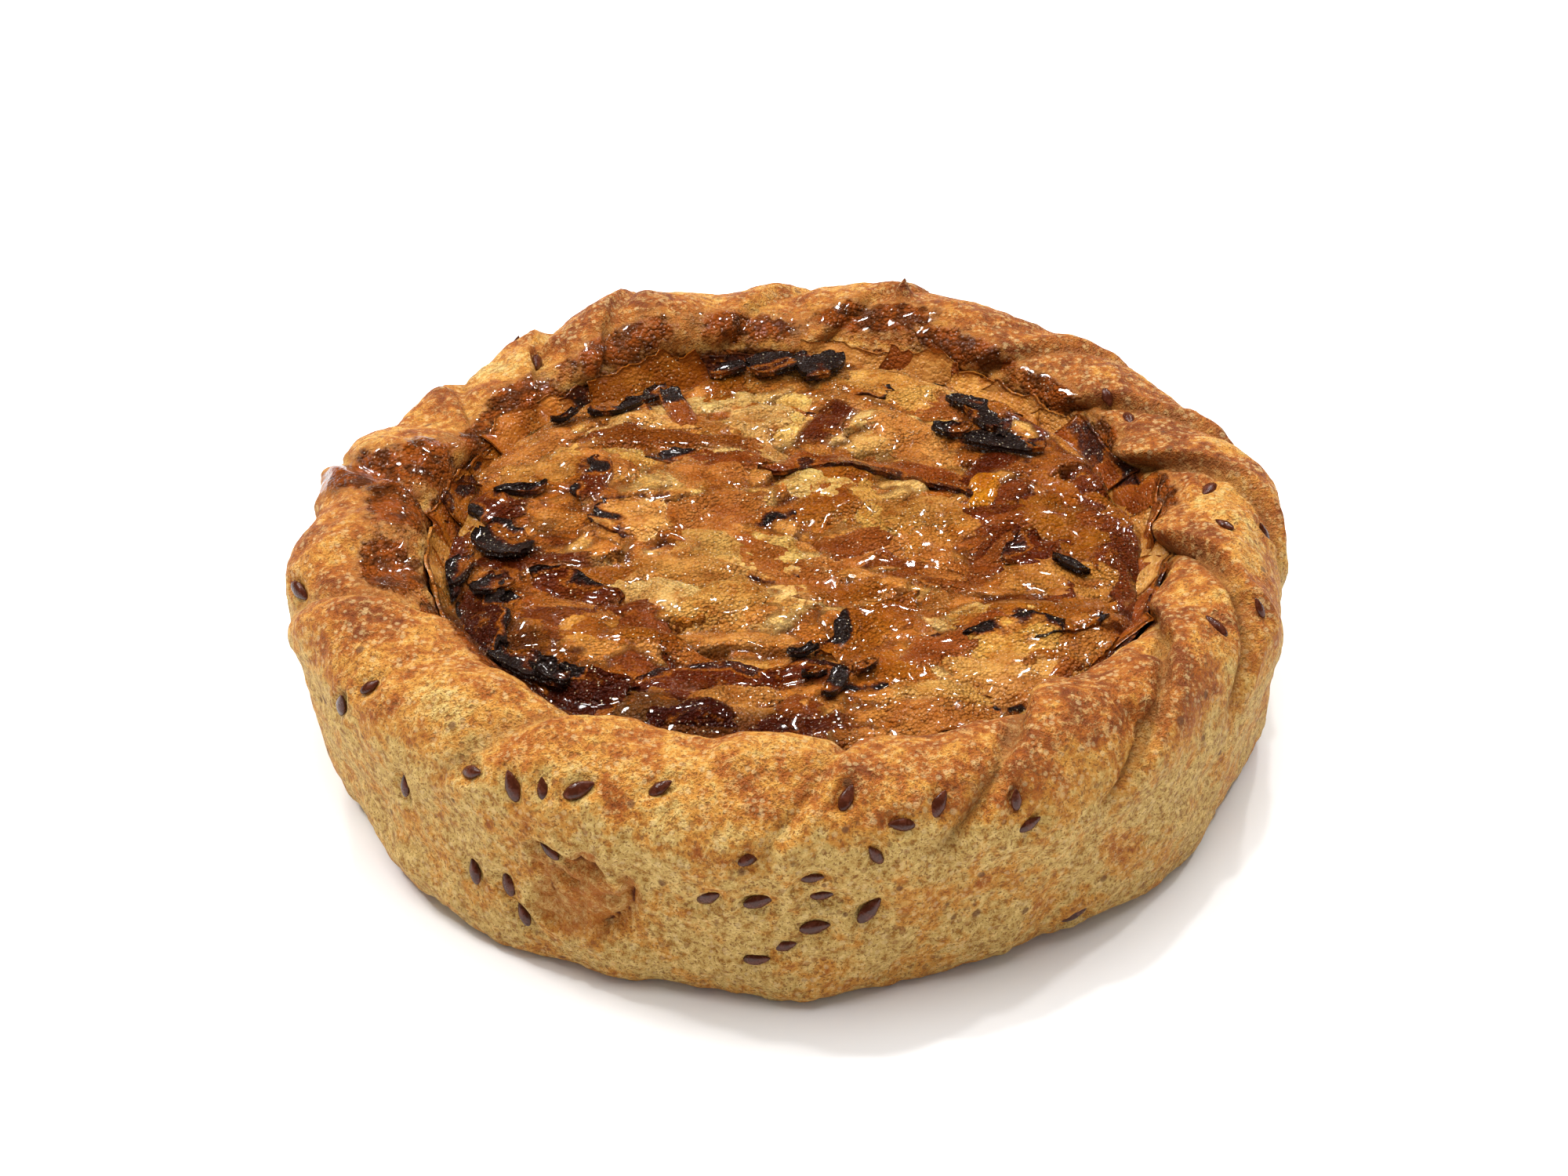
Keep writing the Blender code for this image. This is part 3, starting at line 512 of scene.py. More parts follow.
def fold_relief(column, along):
    """How far the folds push the pastry out, lift its crest and lean in, and how near a fold's edge is."""
    relief, lift, lean = np.zeros_like(column), np.zeros_like(column), np.zeros_like(column)
    crease = np.zeros_like(column)
    rows = fold_rows()
    for here, after in zip(rows, rows[1:]):
        width = after[0] - here[0]
        part = ((column - here[0]) % 360.0) / width
        inside = part < 1.0
        ridge = smooth_step(part / RIDGE_PLACE) * (1.0 - np.clip(part, 0, 1)) ** 0.55 - RIDGE_MEAN
        tip = bell(part - 1.6 * RIDGE_PLACE, 0.2)
        relief = np.where(inside, here[2] * ridge, relief)
        lift = np.where(inside, blend(here[3], after[3], part), lift)
        lean = np.where(inside, here[4] * tip, lean)
        off = np.radians(angle_off(column, here[0])) * CREST_RADIUS
        faint = any(low < here[0] < high for low, high in FAINT_FOLDS)
        strength = here[2] / 2.4 * (FAINT_CREASE if faint else 1.0)
        crease = np.maximum(crease, bell(off, CREASE_WIDTH) * strength)
    share = over_rim(along)
    crest = bell(along - RIM_MIDDLE, CREST_REACH)
    inner = bell(along - MOUTH_AT - 3.0, 3.0)
    return relief * share, lift * crest, lean * inner, crease * share


def round_table(values, angle):
    """A value given at even steps of angle, read between them."""
    steps = np.linspace(0.0, 360.0, len(values) + 1)
    return np.interp(angle % 360.0, steps, [*values, values[0]])


def uneven_outline(angle, along):
    """How far the case moves out, and up, from a true round at each angle."""
    low = smooth_step((along - SHOULDER_AT) / (BASE_AT - SHOULDER_AT))
    high = smooth_step((along - MOUTH_AT) / (SHOULDER_AT - MOUTH_AT)) * (1.0 - low)
    foot = np.clip((SECTION_LENGTH[-1] - along) / (SECTION_LENGTH[-1] - FOOT_AT), 0.0, 1.0)
    out = (round_table(BASE_OUT, angle) * low + round_table(SHOULDER_OUT, angle) * high) * foot
    crest = bell(along - RIM_MIDDLE, CREST_REACH)
    up = round_table(CREST_LIFT, angle)
    shoulder = bell(along - SHOULDER_AT + 4.0, 8.0)
    for at, wide, further, lift in LOBES:
        near = bell(angle_off(angle, at), wide)
        out = out + further * near * shoulder
        up = up + lift * near
    return out, up * crest


def bumps(rows, angle, radius, squareness=2):
    """Sum of bumps given as angle, radius, half width and height; a higher squareness has steeper sides."""
    total = np.zeros_like(angle)
    for at, out, wide, high in rows:
        across, off = np.abs(np.radians(angle_off(angle, at)) * out), np.abs(radius - out)
        total += high * np.exp(-((across / wide) ** squareness) - (off / wide) ** squareness)
    return total


def wobble(points, scale, size, seed):
    """Smooth uneven noise at each point."""
    shift = Vector((seed * 17.3, seed * 5.1, seed * 9.7))
    return size * np.array([noise.noise(Vector(p) / scale + shift) for p in points])


def case_point(column, along):
    """Points of the pastry case, from columns in degrees at the mouth and distances along the section."""
    radius, height, out_r, out_z = section_at(along)
    angle = twisted(column, along)
    relief, lift, lean, crease = fold_relief(column, along)
    on_rim = smooth_step((along - MOUTH_AT) / 3.0)
    hollow = bumps(RIM_POCKETS, angle, radius) * on_rim
    tips = (bumps(RAISED_TIPS, angle, radius, squareness=5) + bumps(SPIKES, angle, radius)) * on_rim
    turn = np.radians(angle)
    plain = np.stack([radius * np.cos(turn), radius * np.sin(turn), height], 1)
    uneven = wobble(plain, 13.0, 0.9, 1.0) * on_rim * (height > 0.2)
    push = relief + uneven - hollow - CREASE_DEPTH * crease
    out, up = uneven_outline(angle, along)
    radius = radius + out_r * push - lean + out
    height = np.maximum(height + out_z * push + lift + tips + up, 0.0)
    return np.stack([radius * np.cos(turn), radius * np.sin(turn), height], 1)


def along_at(radius, height):
    """Distance along the plain section to its nearest place to a radius and height."""
    fine = np.linspace(MOUTH_AT, SECTION_LENGTH[-1], 800)
    gaps = np.hypot(
        np.interp(fine, SECTION_LENGTH, SECTION[:, 0]) - radius,
        np.interp(fine, SECTION_LENGTH, SECTION[:, 1]) - height,
    )
    return float(fine[int(np.argmin(gaps))])


def seed_rows():
    """Every linseed as (angle, radius, height, turn): those that show, then others round the back."""
    draw = random.Random(DRAW_SEEDS["far seeds"])
    rows = list(SEEN_SEEDS)
    low, high = HIDDEN_SEED_ANGLES
    for k in range(HIDDEN_SEEDS):
        angle = low + (high - low) * (k + 0.15 + 0.7 * draw.random()) / HIDDEN_SEEDS
        rows.append((angle, RIM_RADIUS, 2.5 + 25.0 * draw.random(), 180.0 * draw.random()))
    return rows


def seed_frame(angle, radius, height, turn):
    """Where a seed lies: its centre and its long, wide and outward directions, in millimetres."""
    along = along_at(radius, height)
    column = angle - (twisted(np.array([angle]), np.array([along]))[0] - angle)
    spots = case_point(np.array([column, column + 1.0, column]), np.array([along, along, along + 1.0]))
    side = Vector(spots[1] - spots[0]).normalized()
    down = Vector(spots[2] - spots[0]).normalized()
    out = down.cross(side).normalized()
    side = (side - out * side.dot(out)).normalized()
    long_way = Matrix.Rotation(math.radians(turn), 3, out) @ side
    return Vector(spots[0]) - out * SEED_SINK, long_way, out.cross(long_way), out


def surface_normals(grid):
    """Outward directions at the points of a grid that closes on itself along its first side."""
    across = np.roll(grid, -1, 0) - np.roll(grid, 1, 0)
    down = np.empty_like(grid)
    down[:, 1:-1] = grid[:, 2:] - grid[:, :-2]
    down[:, 0], down[:, -1] = down[:, 1], down[:, -2]
    normals = np.cross(down, across)
    return normals / np.maximum(np.linalg.norm(normals, axis=2, keepdims=True), 1e-9)


def mesh_from(name, points, faces):
    """A smooth-shaded object from points in millimetres, set in the row frame."""
    shifted = (np.asarray(points, float) + [*MIDDLE_SHIFT, 0.0]) * MM
    mesh = bpy.data.meshes.new(name)
    mesh.from_pydata(shifted.tolist(), [], faces if isinstance(faces, list) else faces.tolist())
    mesh.shade_smooth()
    obj = bpy.data.objects.new(name, mesh)
    bpy.context.scene.collection.objects.link(obj)
    return obj


def add_mask(obj, name, values):
    layer = obj.data.attributes.new(name, "FLOAT", "POINT")
    layer.data.foreach_set("value", np.asarray(values, np.float32).ravel())


def add_colours(obj, name, colours):
    layer = obj.data.color_attributes.new(name, "FLOAT_COLOR", "POINT")
    rgba = np.c_[colours, np.ones(len(colours))].astype(np.float32)
    layer.data.foreach_set("color", rgba.ravel())


def ring_faces(columns, stations):
    """Quads of a grid of columns by stations whose last column joins the first."""
    i, j = np.meshgrid(np.arange(columns), np.arange(stations - 1), indexing="ij")
    here, beside = i * stations + j, ((i + 1) % columns) * stations + j
    return np.stack([here, here + 1, beside + 1, beside], -1).reshape(-1, 4)


def sheet_faces(rows, columns, start=0):
    """Quads of a plain grid of rows by columns."""
    i, j = np.meshgrid(np.arange(rows - 1), np.arange(columns - 1), indexing="ij")
    here = start + i * columns + j
    return np.stack([here, here + 1, here + columns + 1, here + columns], -1).reshape(-1, 4)


class Sketch:
    """A short way to add and join the nodes of a material or a node group."""

    def __init__(self, tree):
        self.tree = tree

    def add(self, kind, inputs=None, **settings):
        node = self.tree.nodes.new(kind)
        for key, value in settings.items():
            setattr(node, key, value)
        self.fill(node, inputs or {})
        return node

    def set(self, socket, value):
        if isinstance(value, bpy.types.NodeSocket):
            self.tree.links.new(value, socket)
        elif socket.type == "RGBA":
            socket.default_value = (*value, 1.0)
        else:
            socket.default_value = value

    def fill(self, node, inputs):
        """Sets or links the inputs of a node by their names or places."""
        for key, value in inputs.items():
            self.set(node.inputs[key], value)

    def maths(self, operation, first, second=0.0, third=0.0):
        node = self.add("ShaderNodeMath", operation=operation)
        for socket, value in zip(node.inputs, (first, second, third)):
            self.set(socket, value)
        return node.outputs[0]

    def times(self, first, second):
        return self.maths("MULTIPLY", first, second)

    def less(self, first, second):
        return self.maths("SUBTRACT", first, second)

    def times_plus(self, first, second, third):
        return self.maths("MULTIPLY_ADD", first, second, third)

    def stirred(self, value, grain, reach):
        """A value moved up and down by a grain about its middle."""
        return self.times_plus(self.less(grain, 0.5), reach, value)

    def mix(self, share, first, second, blend_type="MIX"):
        inputs = {0: share, 6: first, 7: second}
        return self.add("ShaderNodeMix", inputs, data_type="RGBA", blend_type=blend_type).outputs[2]

    def tint(self, colour, tint):
        return self.mix(1.0, colour, tint, "MULTIPLY")

    def ramp(self, value, low, high, to_low=0.0, to_high=1.0):
        node = self.add("ShaderNodeMapRange", interpolation_type="SMOOTHSTEP")
        for socket, given in zip(node.inputs, (value, low, high, to_low, to_high)):
            self.set(socket, given)
        return node.outputs[0]

    def grain(self, vector, scale, detail=2.0, roughness=0.5, distortion=0.0):
        inputs = {"Vector": vector, "Scale": scale, "Detail": detail, "Roughness": roughness}
        return self.add("ShaderNodeTexNoise", {**inputs, "Distortion": distortion}).outputs["Fac"]

    def cells(self, vector, scale):
        return self.add("ShaderNodeTexVoronoi", {"Vector": vector, "Scale": scale}).outputs

    def bump(self, height, distance, normal=None):
        inputs = {"Height": height, "Distance": distance}
        if normal is not None:
            inputs["Normal"] = normal
        return self.add("ShaderNodeBump", inputs).outputs[0]

    def mask(self, name):
        return self.add("ShaderNodeAttribute", attribute_name=name).outputs["Fac"]


def millimetre_coordinates(sketch):
    """Object coordinates in millimetres."""
    place = sketch.add("ShaderNodeTexCoord").outputs["Object"]
    return sketch.add("ShaderNodeVectorMath", {0: place, "Scale": 1.0 / MM}, operation="SCALE").outputs[0]


def new_group(name, floats, outputs):
    """An empty node group: a vector and floats with their defaults go in, and floats come out."""
    group = bpy.data.node_groups.new(name, "ShaderNodeTree")
    group.interface.new_socket("Vector", in_out="INPUT", socket_type="NodeSocketVector")
    for label, default in floats.items():
        socket = group.interface.new_socket(label, in_out="INPUT", socket_type="NodeSocketFloat")
        socket.default_value = default
    for label in outputs:
        group.interface.new_socket(label, in_out="OUTPUT", socket_type="NodeSocketFloat")
    sketch = Sketch(group)
    return group, sketch, sketch.add("NodeGroupInput").outputs, sketch.add("NodeGroupOutput")


def wet_grain_group():
    """Fine wet grain of baked syrup: a height to bump with and a roughness that changes in patches."""
    name = "Wet grain"
    if name in bpy.data.node_groups:
        return bpy.data.node_groups[name]
    group, sketch, given, made = new_group(
        name, {"Grain size": 0.5, "Smooth": 0.14, "Rough": 0.42}, ("Height", "Roughness", "Patches"),
    )
    place = given["Vector"]
    fineness = sketch.maths("DIVIDE", 1.0, given["Grain size"])
    fine = sketch.grain(place, sketch.times(fineness, 0.9), 1.0, 0.5)
    reach = sketch.cells(place, fineness)["Distance"]
    beads = sketch.less(1.0, sketch.times(sketch.times(reach, reach), 2.2))
    patches = sketch.ramp(sketch.grain(place, 0.2, 2.0, 0.6), 0.40, 0.60)
    both = sketch.maths("ADD", sketch.times(beads, 0.7), fine)
    streaks = sketch.ramp(sketch.grain(place, 0.8, 2.0), 0.35, 0.7)
    spread = sketch.less(given["Rough"], given["Smooth"])
    sketch.fill(made, {
        "Height": sketch.times(both, sketch.times_plus(patches, 0.6, 0.5)),
        "Roughness": sketch.times_plus(streaks, spread, given["Smooth"]),
        "Patches": patches,
    })
    return group


def flecks_group():
    """Scattered flecks of a given size: a mask that is 1 on a fleck."""
    name = "Flecks"
    if name in bpy.data.node_groups:
        return bpy.data.node_groups[name]
    group, sketch, given, made = new_group(name, {"Spacing": 1.0, "Size": 0.3, "Share": 0.3}, ("Mask",))
    cells = sketch.cells(given["Vector"], sketch.maths("DIVIDE", 1.0, given["Spacing"]))
    draws = sketch.add("ShaderNodeSeparateColor", {0: cells["Color"]}).outputs
    chosen = sketch.maths("LESS_THAN", draws[0], given["Share"])
    reach = sketch.times(given["Size"], sketch.times_plus(draws[1], 0.8, 0.6))
    edge = sketch.ramp(sketch.maths("DIVIDE", cells["Distance"], reach), 0.6, 1.15)
    sketch.fill(made, {"Mask": sketch.times(chosen, sketch.less(1.0, edge))})
    return group


def group_outputs(sketch, group, inputs):
    node = sketch.add("ShaderNodeGroup", node_tree=group)
    sketch.fill(node, inputs)
    return node.outputs


def wet_grain(sketch, place, grain_size, smooth, rough):
    inputs = {"Vector": place, "Grain size": grain_size, "Smooth": smooth, "Rough": rough}
    return group_outputs(sketch, wet_grain_group(), inputs)


def flecks(sketch, place, spacing, size, share):
    inputs = {"Vector": place, "Spacing": spacing, "Size": size, "Share": share}
    return group_outputs(sketch, flecks_group(), inputs)["Mask"]


def new_material(name):
    material = bpy.data.materials.new(name)
    material.use_nodes = True
    return material, Sketch(material.node_tree), material.node_tree.nodes["Principled BSDF"]


def pastry_material(settings):
    """Baked wholegrain pastry: pale wall, golden crust and browned crest, with bran and baked-on syrup."""
    material, sketch, shader = new_material("baked_pastry")
    place = millimetre_coordinates(sketch)
    bake, glaze, crease, torn_and_slit_shade = (sketch.mask(name) for name in ("bake", "glaze", "crease", "torn_and_slit_shade"))

    mottle = sketch.grain(place, 0.95, 4.0, 0.74)
    freckle = sketch.grain(place, 3.0, 1.0, 0.6)
    level = sketch.stirred(bake, sketch.grain(place, 0.16, 2.0, 0.6), 1.9)
    level = sketch.stirred(level, sketch.grain(place, 0.6, 2.0, 0.6), 1.9)
    colour = sketch.mix(sketch.ramp(level, 0.05, 0.6), settings.wall_colour, settings.crust_colour)
    colour = sketch.mix(sketch.ramp(level, 0.5, 1.15), colour, settings.baked_colour)
    colour = sketch.mix(sketch.ramp(level, 1.0, 1.7, 0.0, 0.8), colour, OVERBAKED_COLOUR)
    lighter = sketch.mix(0.55, colour, LIGHT_CRUMB_COLOUR)
    darker = sketch.tint(colour, DARK_CRUMB_TINT)
    calm = sketch.ramp(bake, 0.2, 0.8, 1.0, 0.6)
    bran = flecks(sketch, place, 0.95, 0.34, 0.22)
    torn_share = sketch.times(torn_and_slit_shade, sketch.ramp(mottle, 0.62, 0.42, 0.55, 1.0))
    for share, over in (
        (sketch.times(calm, sketch.ramp(mottle, 0.51, 0.62)), lighter),
        (sketch.times(calm, sketch.ramp(mottle, 0.49, 0.37)), darker),
        (sketch.ramp(freckle, 0.57, 0.66, 0.0, 0.75), FRECKLE_COLOUR),
        (sketch.times(flecks(sketch, place, 0.85, 0.42, 0.30), 0.42), FLOUR_COLOUR),
        (sketch.times(bran, 0.55), FINE_BRAN_COLOUR),
        (sketch.times(flecks(sketch, place, 3.1, 0.16, 0.30), 0.8), settings.bran_colour),
        (torn_share, TORN_COLOUR),
        # Painted shade: the slits of the torn patch are coloured nearly black
        (sketch.ramp(torn_and_slit_shade, 0.82, 0.96, 0.0, 0.9), SLIT_SHADE_COLOUR),
        # Painted shade: the creases of the folds are darkened where shade falls in them
        (sketch.times(crease, 0.6), CREASE_SHADE_COLOUR),
    ):
        colour = sketch.mix(share, colour, over)

    edge = sketch.grain(place, 0.55, 3.0, 0.6)
    syrup = sketch.ramp(sketch.stirred(glaze, edge, 0.9), 0.30, 0.62)
    thin = sketch.ramp(sketch.stirred(glaze, edge, 0.7), 0.12, 0.40)
    depth = sketch.ramp(sketch.grain(place, 0.42, 2.0, 0.6), 0.37, 0.61)
    thick = sketch.mix(depth, THIN_SYRUP_COLOUR, settings.syrup_colour)
    stained = sketch.mix(thin, colour, sketch.mix(0.6, colour, STAIN_COLOUR))
    colour = sketch.mix(sketch.times(syrup, 0.9), stained, thick)
    wet = wet_grain(sketch, place, 0.55, 0.10, 0.24)
    # Painted highlights: pale flecks in the syrup's colour stand in for its glints
    glints = sketch.times(flecks(sketch, place, 0.50, 0.17, 0.30), sketch.times(syrup, 0.6))
    rough = {0: syrup, 2: sketch.ramp(mottle, 0.3, 0.7, 0.55, 0.8), 3: wet["Roughness"]}
    crumb = sketch.times_plus(bran, -0.25, sketch.less(mottle, sketch.times(freckle, 0.5)))
    dry = sketch.bump(sketch.times(crumb, sketch.less(1.0, syrup)), settings.crumb)
    sketch.fill(shader, {
        "Base Color": sketch.mix(glints, colour, PAINTED_GLINT_COLOUR),
        "Roughness": sketch.add("ShaderNodeMix", rough, data_type="FLOAT").outputs[0],
        "Coat Weight": sketch.times(syrup, 0.85),
        "Coat Roughness": 0.06,
        "Specular IOR Level": 0.22,
        "Normal": sketch.bump(sketch.times(wet["Height"], syrup), 0.00045, dry),
    })
    return material


def onion_material(settings, name="caramelised_onion_pieces", grain_share=1.0):
    """Wet caramelised onion: the tone of each piece, with fibres along it, burnt places and wet grain."""
    if name in bpy.data.materials:
        return bpy.data.materials[name]
    material, sketch, shader = new_material(name)
    place = millimetre_coordinates(sketch)
    tone = sketch.add("ShaderNodeVertexColor", layer_name="tone").outputs["Color"]
    strip = sketch.add("ShaderNodeUVMap", uv_map="strip").outputs["UV"]
    streaks = sketch.add("ShaderNodeMapping", {"Vector": strip, "Scale": (0.12, 2.0, 1.0)}).outputs[0]
    fibres = sketch.grain(streaks, 1.0, 2.0, 0.6, 0.3)
    mottle = sketch.grain(place, 0.5, 3.0, 0.65)
    fine = sketch.grain(place, 1.9, 1.0, 0.6)

    bright = sketch.tint(tone, BRIGHT_TINT)
    stain = sketch.tint(tone, STAIN_TINT)
    heat = sketch.stirred(sketch.mask("char"), mottle, 0.9)
    burnt = sketch.ramp(heat, 0.42, 0.72)
    wet = wet_grain(sketch, place, 0.45, 0.12, 0.36)
    glints = flecks(sketch, place, 0.50, 0.19, 0.40)
    colour = sketch.mix(sketch.ramp(fibres, 0.36, 0.66), sketch.tint(tone, DEEP_TINT), bright)
    for share, over in (
        (sketch.ramp(sketch.grain(place, 0.24, 2.0, 0.6), 0.44, 0.66, 0.0, 0.5), stain),
        (sketch.ramp(mottle, 0.45, 0.70, 0.0, 0.62), stain),
        (sketch.ramp(fine, 0.5, 0.75, 0.0, 0.4), bright),
        (sketch.ramp(heat, 0.03, 0.28, 0.0, 0.75), GLOWING_COLOUR),
        (sketch.ramp(heat, 0.22, 0.55), SCORCHED_COLOUR),
        (burnt, BURNT_COLOUR),
        # Painted shade: small dark flecks in the stain tint, between the painted glints
        (sketch.times(flecks(sketch, place, 0.62, 0.22, 0.36), 0.55), stain),
        # Painted highlights: pale flecks, thickest in the wet patches, stand in for the glints on the syrup
        (sketch.times(glints, sketch.times_plus(wet["Patches"], 0.55, 0.30)), PAINTED_GLINT_COLOUR),
    ):
        colour = sketch.mix(share, colour, over)
    coat = sketch.times(sketch.ramp(mottle, 0.35, 0.6, 0.45, 1.0), sketch.times_plus(burnt, -0.7, 1.0))
    lines = sketch.bump(fibres, 0.00018)
    sketch.fill(shader, {
        "Base Color": colour,
        "Roughness": wet["Roughness"],
        "Coat Weight": coat,
        "Coat Roughness": 0.06,
        "Specular IOR Level": 0.14,
        "Subsurface Weight": 0.06,
        "Subsurface Radius": (1.0, 0.40, 0.10),
        "Subsurface Scale": 0.0018,
        "Normal": sketch.bump(wet["Height"], settings.grain * grain_share, lines),
    })
    return material


def seed_material(settings):
    """Glossy purple-brown seed coat."""
    material, sketch, shader = new_material("linseed_coat")
    place = millimetre_coordinates(sketch)
    patch = sketch.grain(place, 1.1, 2.0, 0.6)
    lighter = [min(1.0, value * 1.9) for value in settings.colour]
    sketch.fill(shader, {
        "Base Color": sketch.mix(sketch.ramp(patch, 0.4, 0.72), settings.colour, lighter),
        "Roughness": sketch.ramp(patch, 0.3, 0.7, 0.16, 0.34),
        "Specular IOR Level": 0.35,
        "Normal": sketch.bump(sketch.grain(place, 5.0, 1.0), 0.00004),
    })
    return material


def seed_sockets(points):
    """How far each point of the pastry sinks under a seed, or swells round it."""
    flat = points.reshape(-1, 3)
    move = np.zeros(len(flat))
    for row in seed_rows():
        centre, long_way, wide_way, _ = seed_frame(*row)
        offset = flat - np.array(centre)
        near = np.where(np.einsum("ij,ij->i", offset, offset) < 25.0)[0]
        a = offset[near] @ np.array(long_way) / (0.62 * SEED_SIZE[0])
        b = offset[near] @ np.array(wide_way) / (0.75 * SEED_SIZE[1])
        reach = np.hypot(a, b)
        move[near] += 0.24 * bell(reach - 1.4, 0.35) - 0.62 * np.exp(-((reach / 0.95) ** 4))
    return move.reshape(points.shape[:2])


def slit_distance(angle, height):
    """Distance from each place on the wall to the nearest slit of the torn patch."""
    nearest = np.full(len(angle), 99.0)
    for line in TORN_SLITS:
        for (first, low), (last, high) in zip(line, line[1:]):
            across, up = np.radians(angle_off(angle, first)) * RIM_RADIUS, height - low
            run, rise = math.radians(last - first) * RIM_RADIUS, high - low
            share = np.clip((across * run + up * rise) / (run * run + rise * rise), 0.0, 1.0)
            nearest = np.minimum(nearest, np.hypot(across - share * run, up - share * rise))
    return nearest


def torn_patch(points):
    """The torn patch on the front wall: how far it moves the pastry, and its colour mask, with painted shade
    in its slits.
    """
    at, half, low, high = TORN_PATCH
    angle = np.degrees(np.arctan2(points[:, 1], points[:, 0])) % 360.0
    across = angle_off(angle, at) / half
    up = (2.0 * points[:, 2] - low - high) / (high - low)
    outside = (np.hypot(points[:, 0], points[:, 1]) > 0.9 * BASE_RADIUS) & (np.abs(across) < 2.5)
    move, dark = np.zeros(len(points)), np.zeros(len(points))
    near = points[outside]
    reach = np.hypot(across[outside], up[outside]) + wobble(near, 3.4, 0.55, 14.0)
    inside = 1.0 - smooth_step((reach - 0.70) / 0.25)
    lip = bell(reach - 0.98, 0.17)
    flaps = np.abs(wobble(near, 3.0, 2.0, 18.0))
    slit = slit_distance(angle[outside], near[:, 2]) + 0.2 * np.abs(wobble(near, 1.2, 1.5, 19.0))
    slit = bell(slit, 0.78)
    move[outside] = 0.5 * lip + inside * (1.1 * np.minimum(flaps, 0.8) - 0.65) - 1.2 * slit
    # Painted shade: the slits take the highest values, which the material colours nearly black
    dark[outside] = np.maximum(inside * np.clip(1.05 - 0.5 * flaps, 0.55, 0.82), slit)
    return move, dark


def spot(angle, radius, at, out, wide, deep):
    """1 at a place of the rim, falling off at its half widths in degrees and millimetres."""
    return np.exp(-((angle_off(angle, at) / wide) ** 2) - ((radius - out) / deep) ** 2)


def baked_places(angle, radius):
    """How much browner or paler each place of the rim is baked."""
    total = np.zeros_like(angle)
    for *where, change in BAKED_PLACES:
        total += change * spot(angle, radius, *where)
    return total


def glaze_mask(angle, along):
    """Where syrup lies on the pastry, by angle and distance along the section."""
    radius = section_at(along)[0]
    total = np.zeros_like(angle)
    for *where, strength in GLAZED_PLACES:
        total = np.maximum(total, strength * spot(angle, radius, *where))
    inside = 1.0 - smooth_step((along - MOUTH_AT + 1.0) / 3.0)
    top_side = along < RIM_MIDDLE + 9.0
    return np.maximum(total, 0.75 * inside) * top_side


def bake_pastry_case(settings):
    """The pastry case as one fine mesh with masks for its bake, its syrup, the painted shade in its creases,
    and its torn patch with painted shade in the slits.
    """
    first = FOLDS[0][0]
    columns = np.arange(first, first + 360.0, PASTRY_STEPS[0])
    stations = np.r_[
        0.0,
        np.linspace(WALL_AT - 12.0, WALL_AT + 8.0, 8),
        np.arange(WALL_AT + 9.0, FOOT_AT, PASTRY_STEPS[1]),
        np.linspace(FOOT_AT, SECTION_LENGTH[-1], 12),
    ]
    column, along = np.meshgrid(columns, stations, indexing="ij")
    shape = column.shape
    column, along = column.ravel(), along.ravel()
    angle = twisted(column, along)
    points = case_point(column, along)
    grid = points.reshape(*shape, 3)
    normals = surface_normals(grid)

    shown = smooth_step((along - WALL_AT - 6.0) / 4.0) * (points[:, 2] > 0.3)
    lumps = wobble(points, 6.0, 0.55, 11.0) + wobble(points, 2.6, 0.30, 12.0)
    lumps = lumps + wobble(points, 1.3, 0.16, 13.0)
    ragged, torn_and_slit_shade = torn_patch(points)
    dents = bumps(DENTS, angle, np.hypot(points[:, 0], points[:, 1])) * (points[:, 2] > 26.0)
    move = (lumps - dents + ragged) * shown + seed_sockets(grid).ravel() * shown
    points = points + normals.reshape(-1, 3) * move[:, None]
    points[:, 2] = np.maximum(points[:, 2], 0.0)

    obj = mesh_from("baked_pastry_case", points, ring_faces(*shape))
    relief, _, lean, crease = fold_relief(column, along)
    height = smooth_step((points[:, 2] - 20.0) / 10.0)
    ridge = np.clip((relief + 1.2) / 2.6, 0.0, 1.0)
    inner = smooth_step((along - MOUTH_AT) / 3.0)
    front = bell(angle_off(angle, PALE_FRONT[0]), PALE_FRONT[1])
    sides = 1.0 - front
    lip = bell(along - MOUTH_AT - 1.5, 3.0) * (1.0 - 0.8 * front)
    tips = np.clip(lean, 0.0, 2.5)
    bake = 0.20 + height * (0.24 + 0.34 * ridge + 0.42 * sides) * inner + 0.34 * lip * inner + 0.30 * tips
    bake = bake + wobble(points, 8.0, 0.50 + 0.25 * sides, 15.0) + wobble(points, 3.2, 0.35, 16.0)
    low_edge = 0.18 * (1.0 - smooth_step((points[:, 2] - 1.0) / 5.0))
    under_bulge = -0.16 * bell(points[:, 2] - 20.5, 2.6) * (along > RIM_MIDDLE)
    radius = np.hypot(points[:, 0], points[:, 1])
    bake = bake + baked_places(angle, radius) * height * inner
    bake = np.clip(bake + low_edge + under_bulge + bumps(SPIKES, angle, radius), 0.0, 1.3)
    add_mask(obj, "bake", bake)
    add_mask(obj, "glaze", glaze_mask(angle, along))
    add_mask(obj, "crease", np.clip(crease * 1.2, 0.0, 1.0))
    add_mask(obj, "torn_and_slit_shade", torn_and_slit_shade)
    obj.data.materials.append(pastry_material(settings))
    return obj


def seed_points(sides, rings):
    """Points and faces of one flat seed, round at one end and pointed at the other, before it is placed."""
    points = [(-0.5, 0.0, 0.0)]
    for ring in range(1, rings):
        share = math.pi * ring / rings
        for side in range(sides):
            turn = 2.0 * math.pi * side / sides
            across = 0.5 * math.sin(share)
            points.append((-0.5 * math.cos(share), across * math.cos(turn), across * math.sin(turn)))
    points.append((0.5, 0.0, 0.0))
    points = np.array(points)
    points[:, 1:] *= 1.0 - 0.45 * np.clip(points[:, :1] * 2.0, 0.0, 1.0)
    last = len(points) - 1
    faces = []
    for side in range(sides):
        after = (side + 1) % sides
        faces.append((0, 1 + after, 1 + side))
        for ring in range(rings - 2):
            a, b = 1 + ring * sides + side, 1 + ring * sides + after
            faces.append((a, b, b + sides, a + sides))
        faces.append((last, last - sides + side, last - sides + after))
    return points * np.array(SEED_SIZE), faces


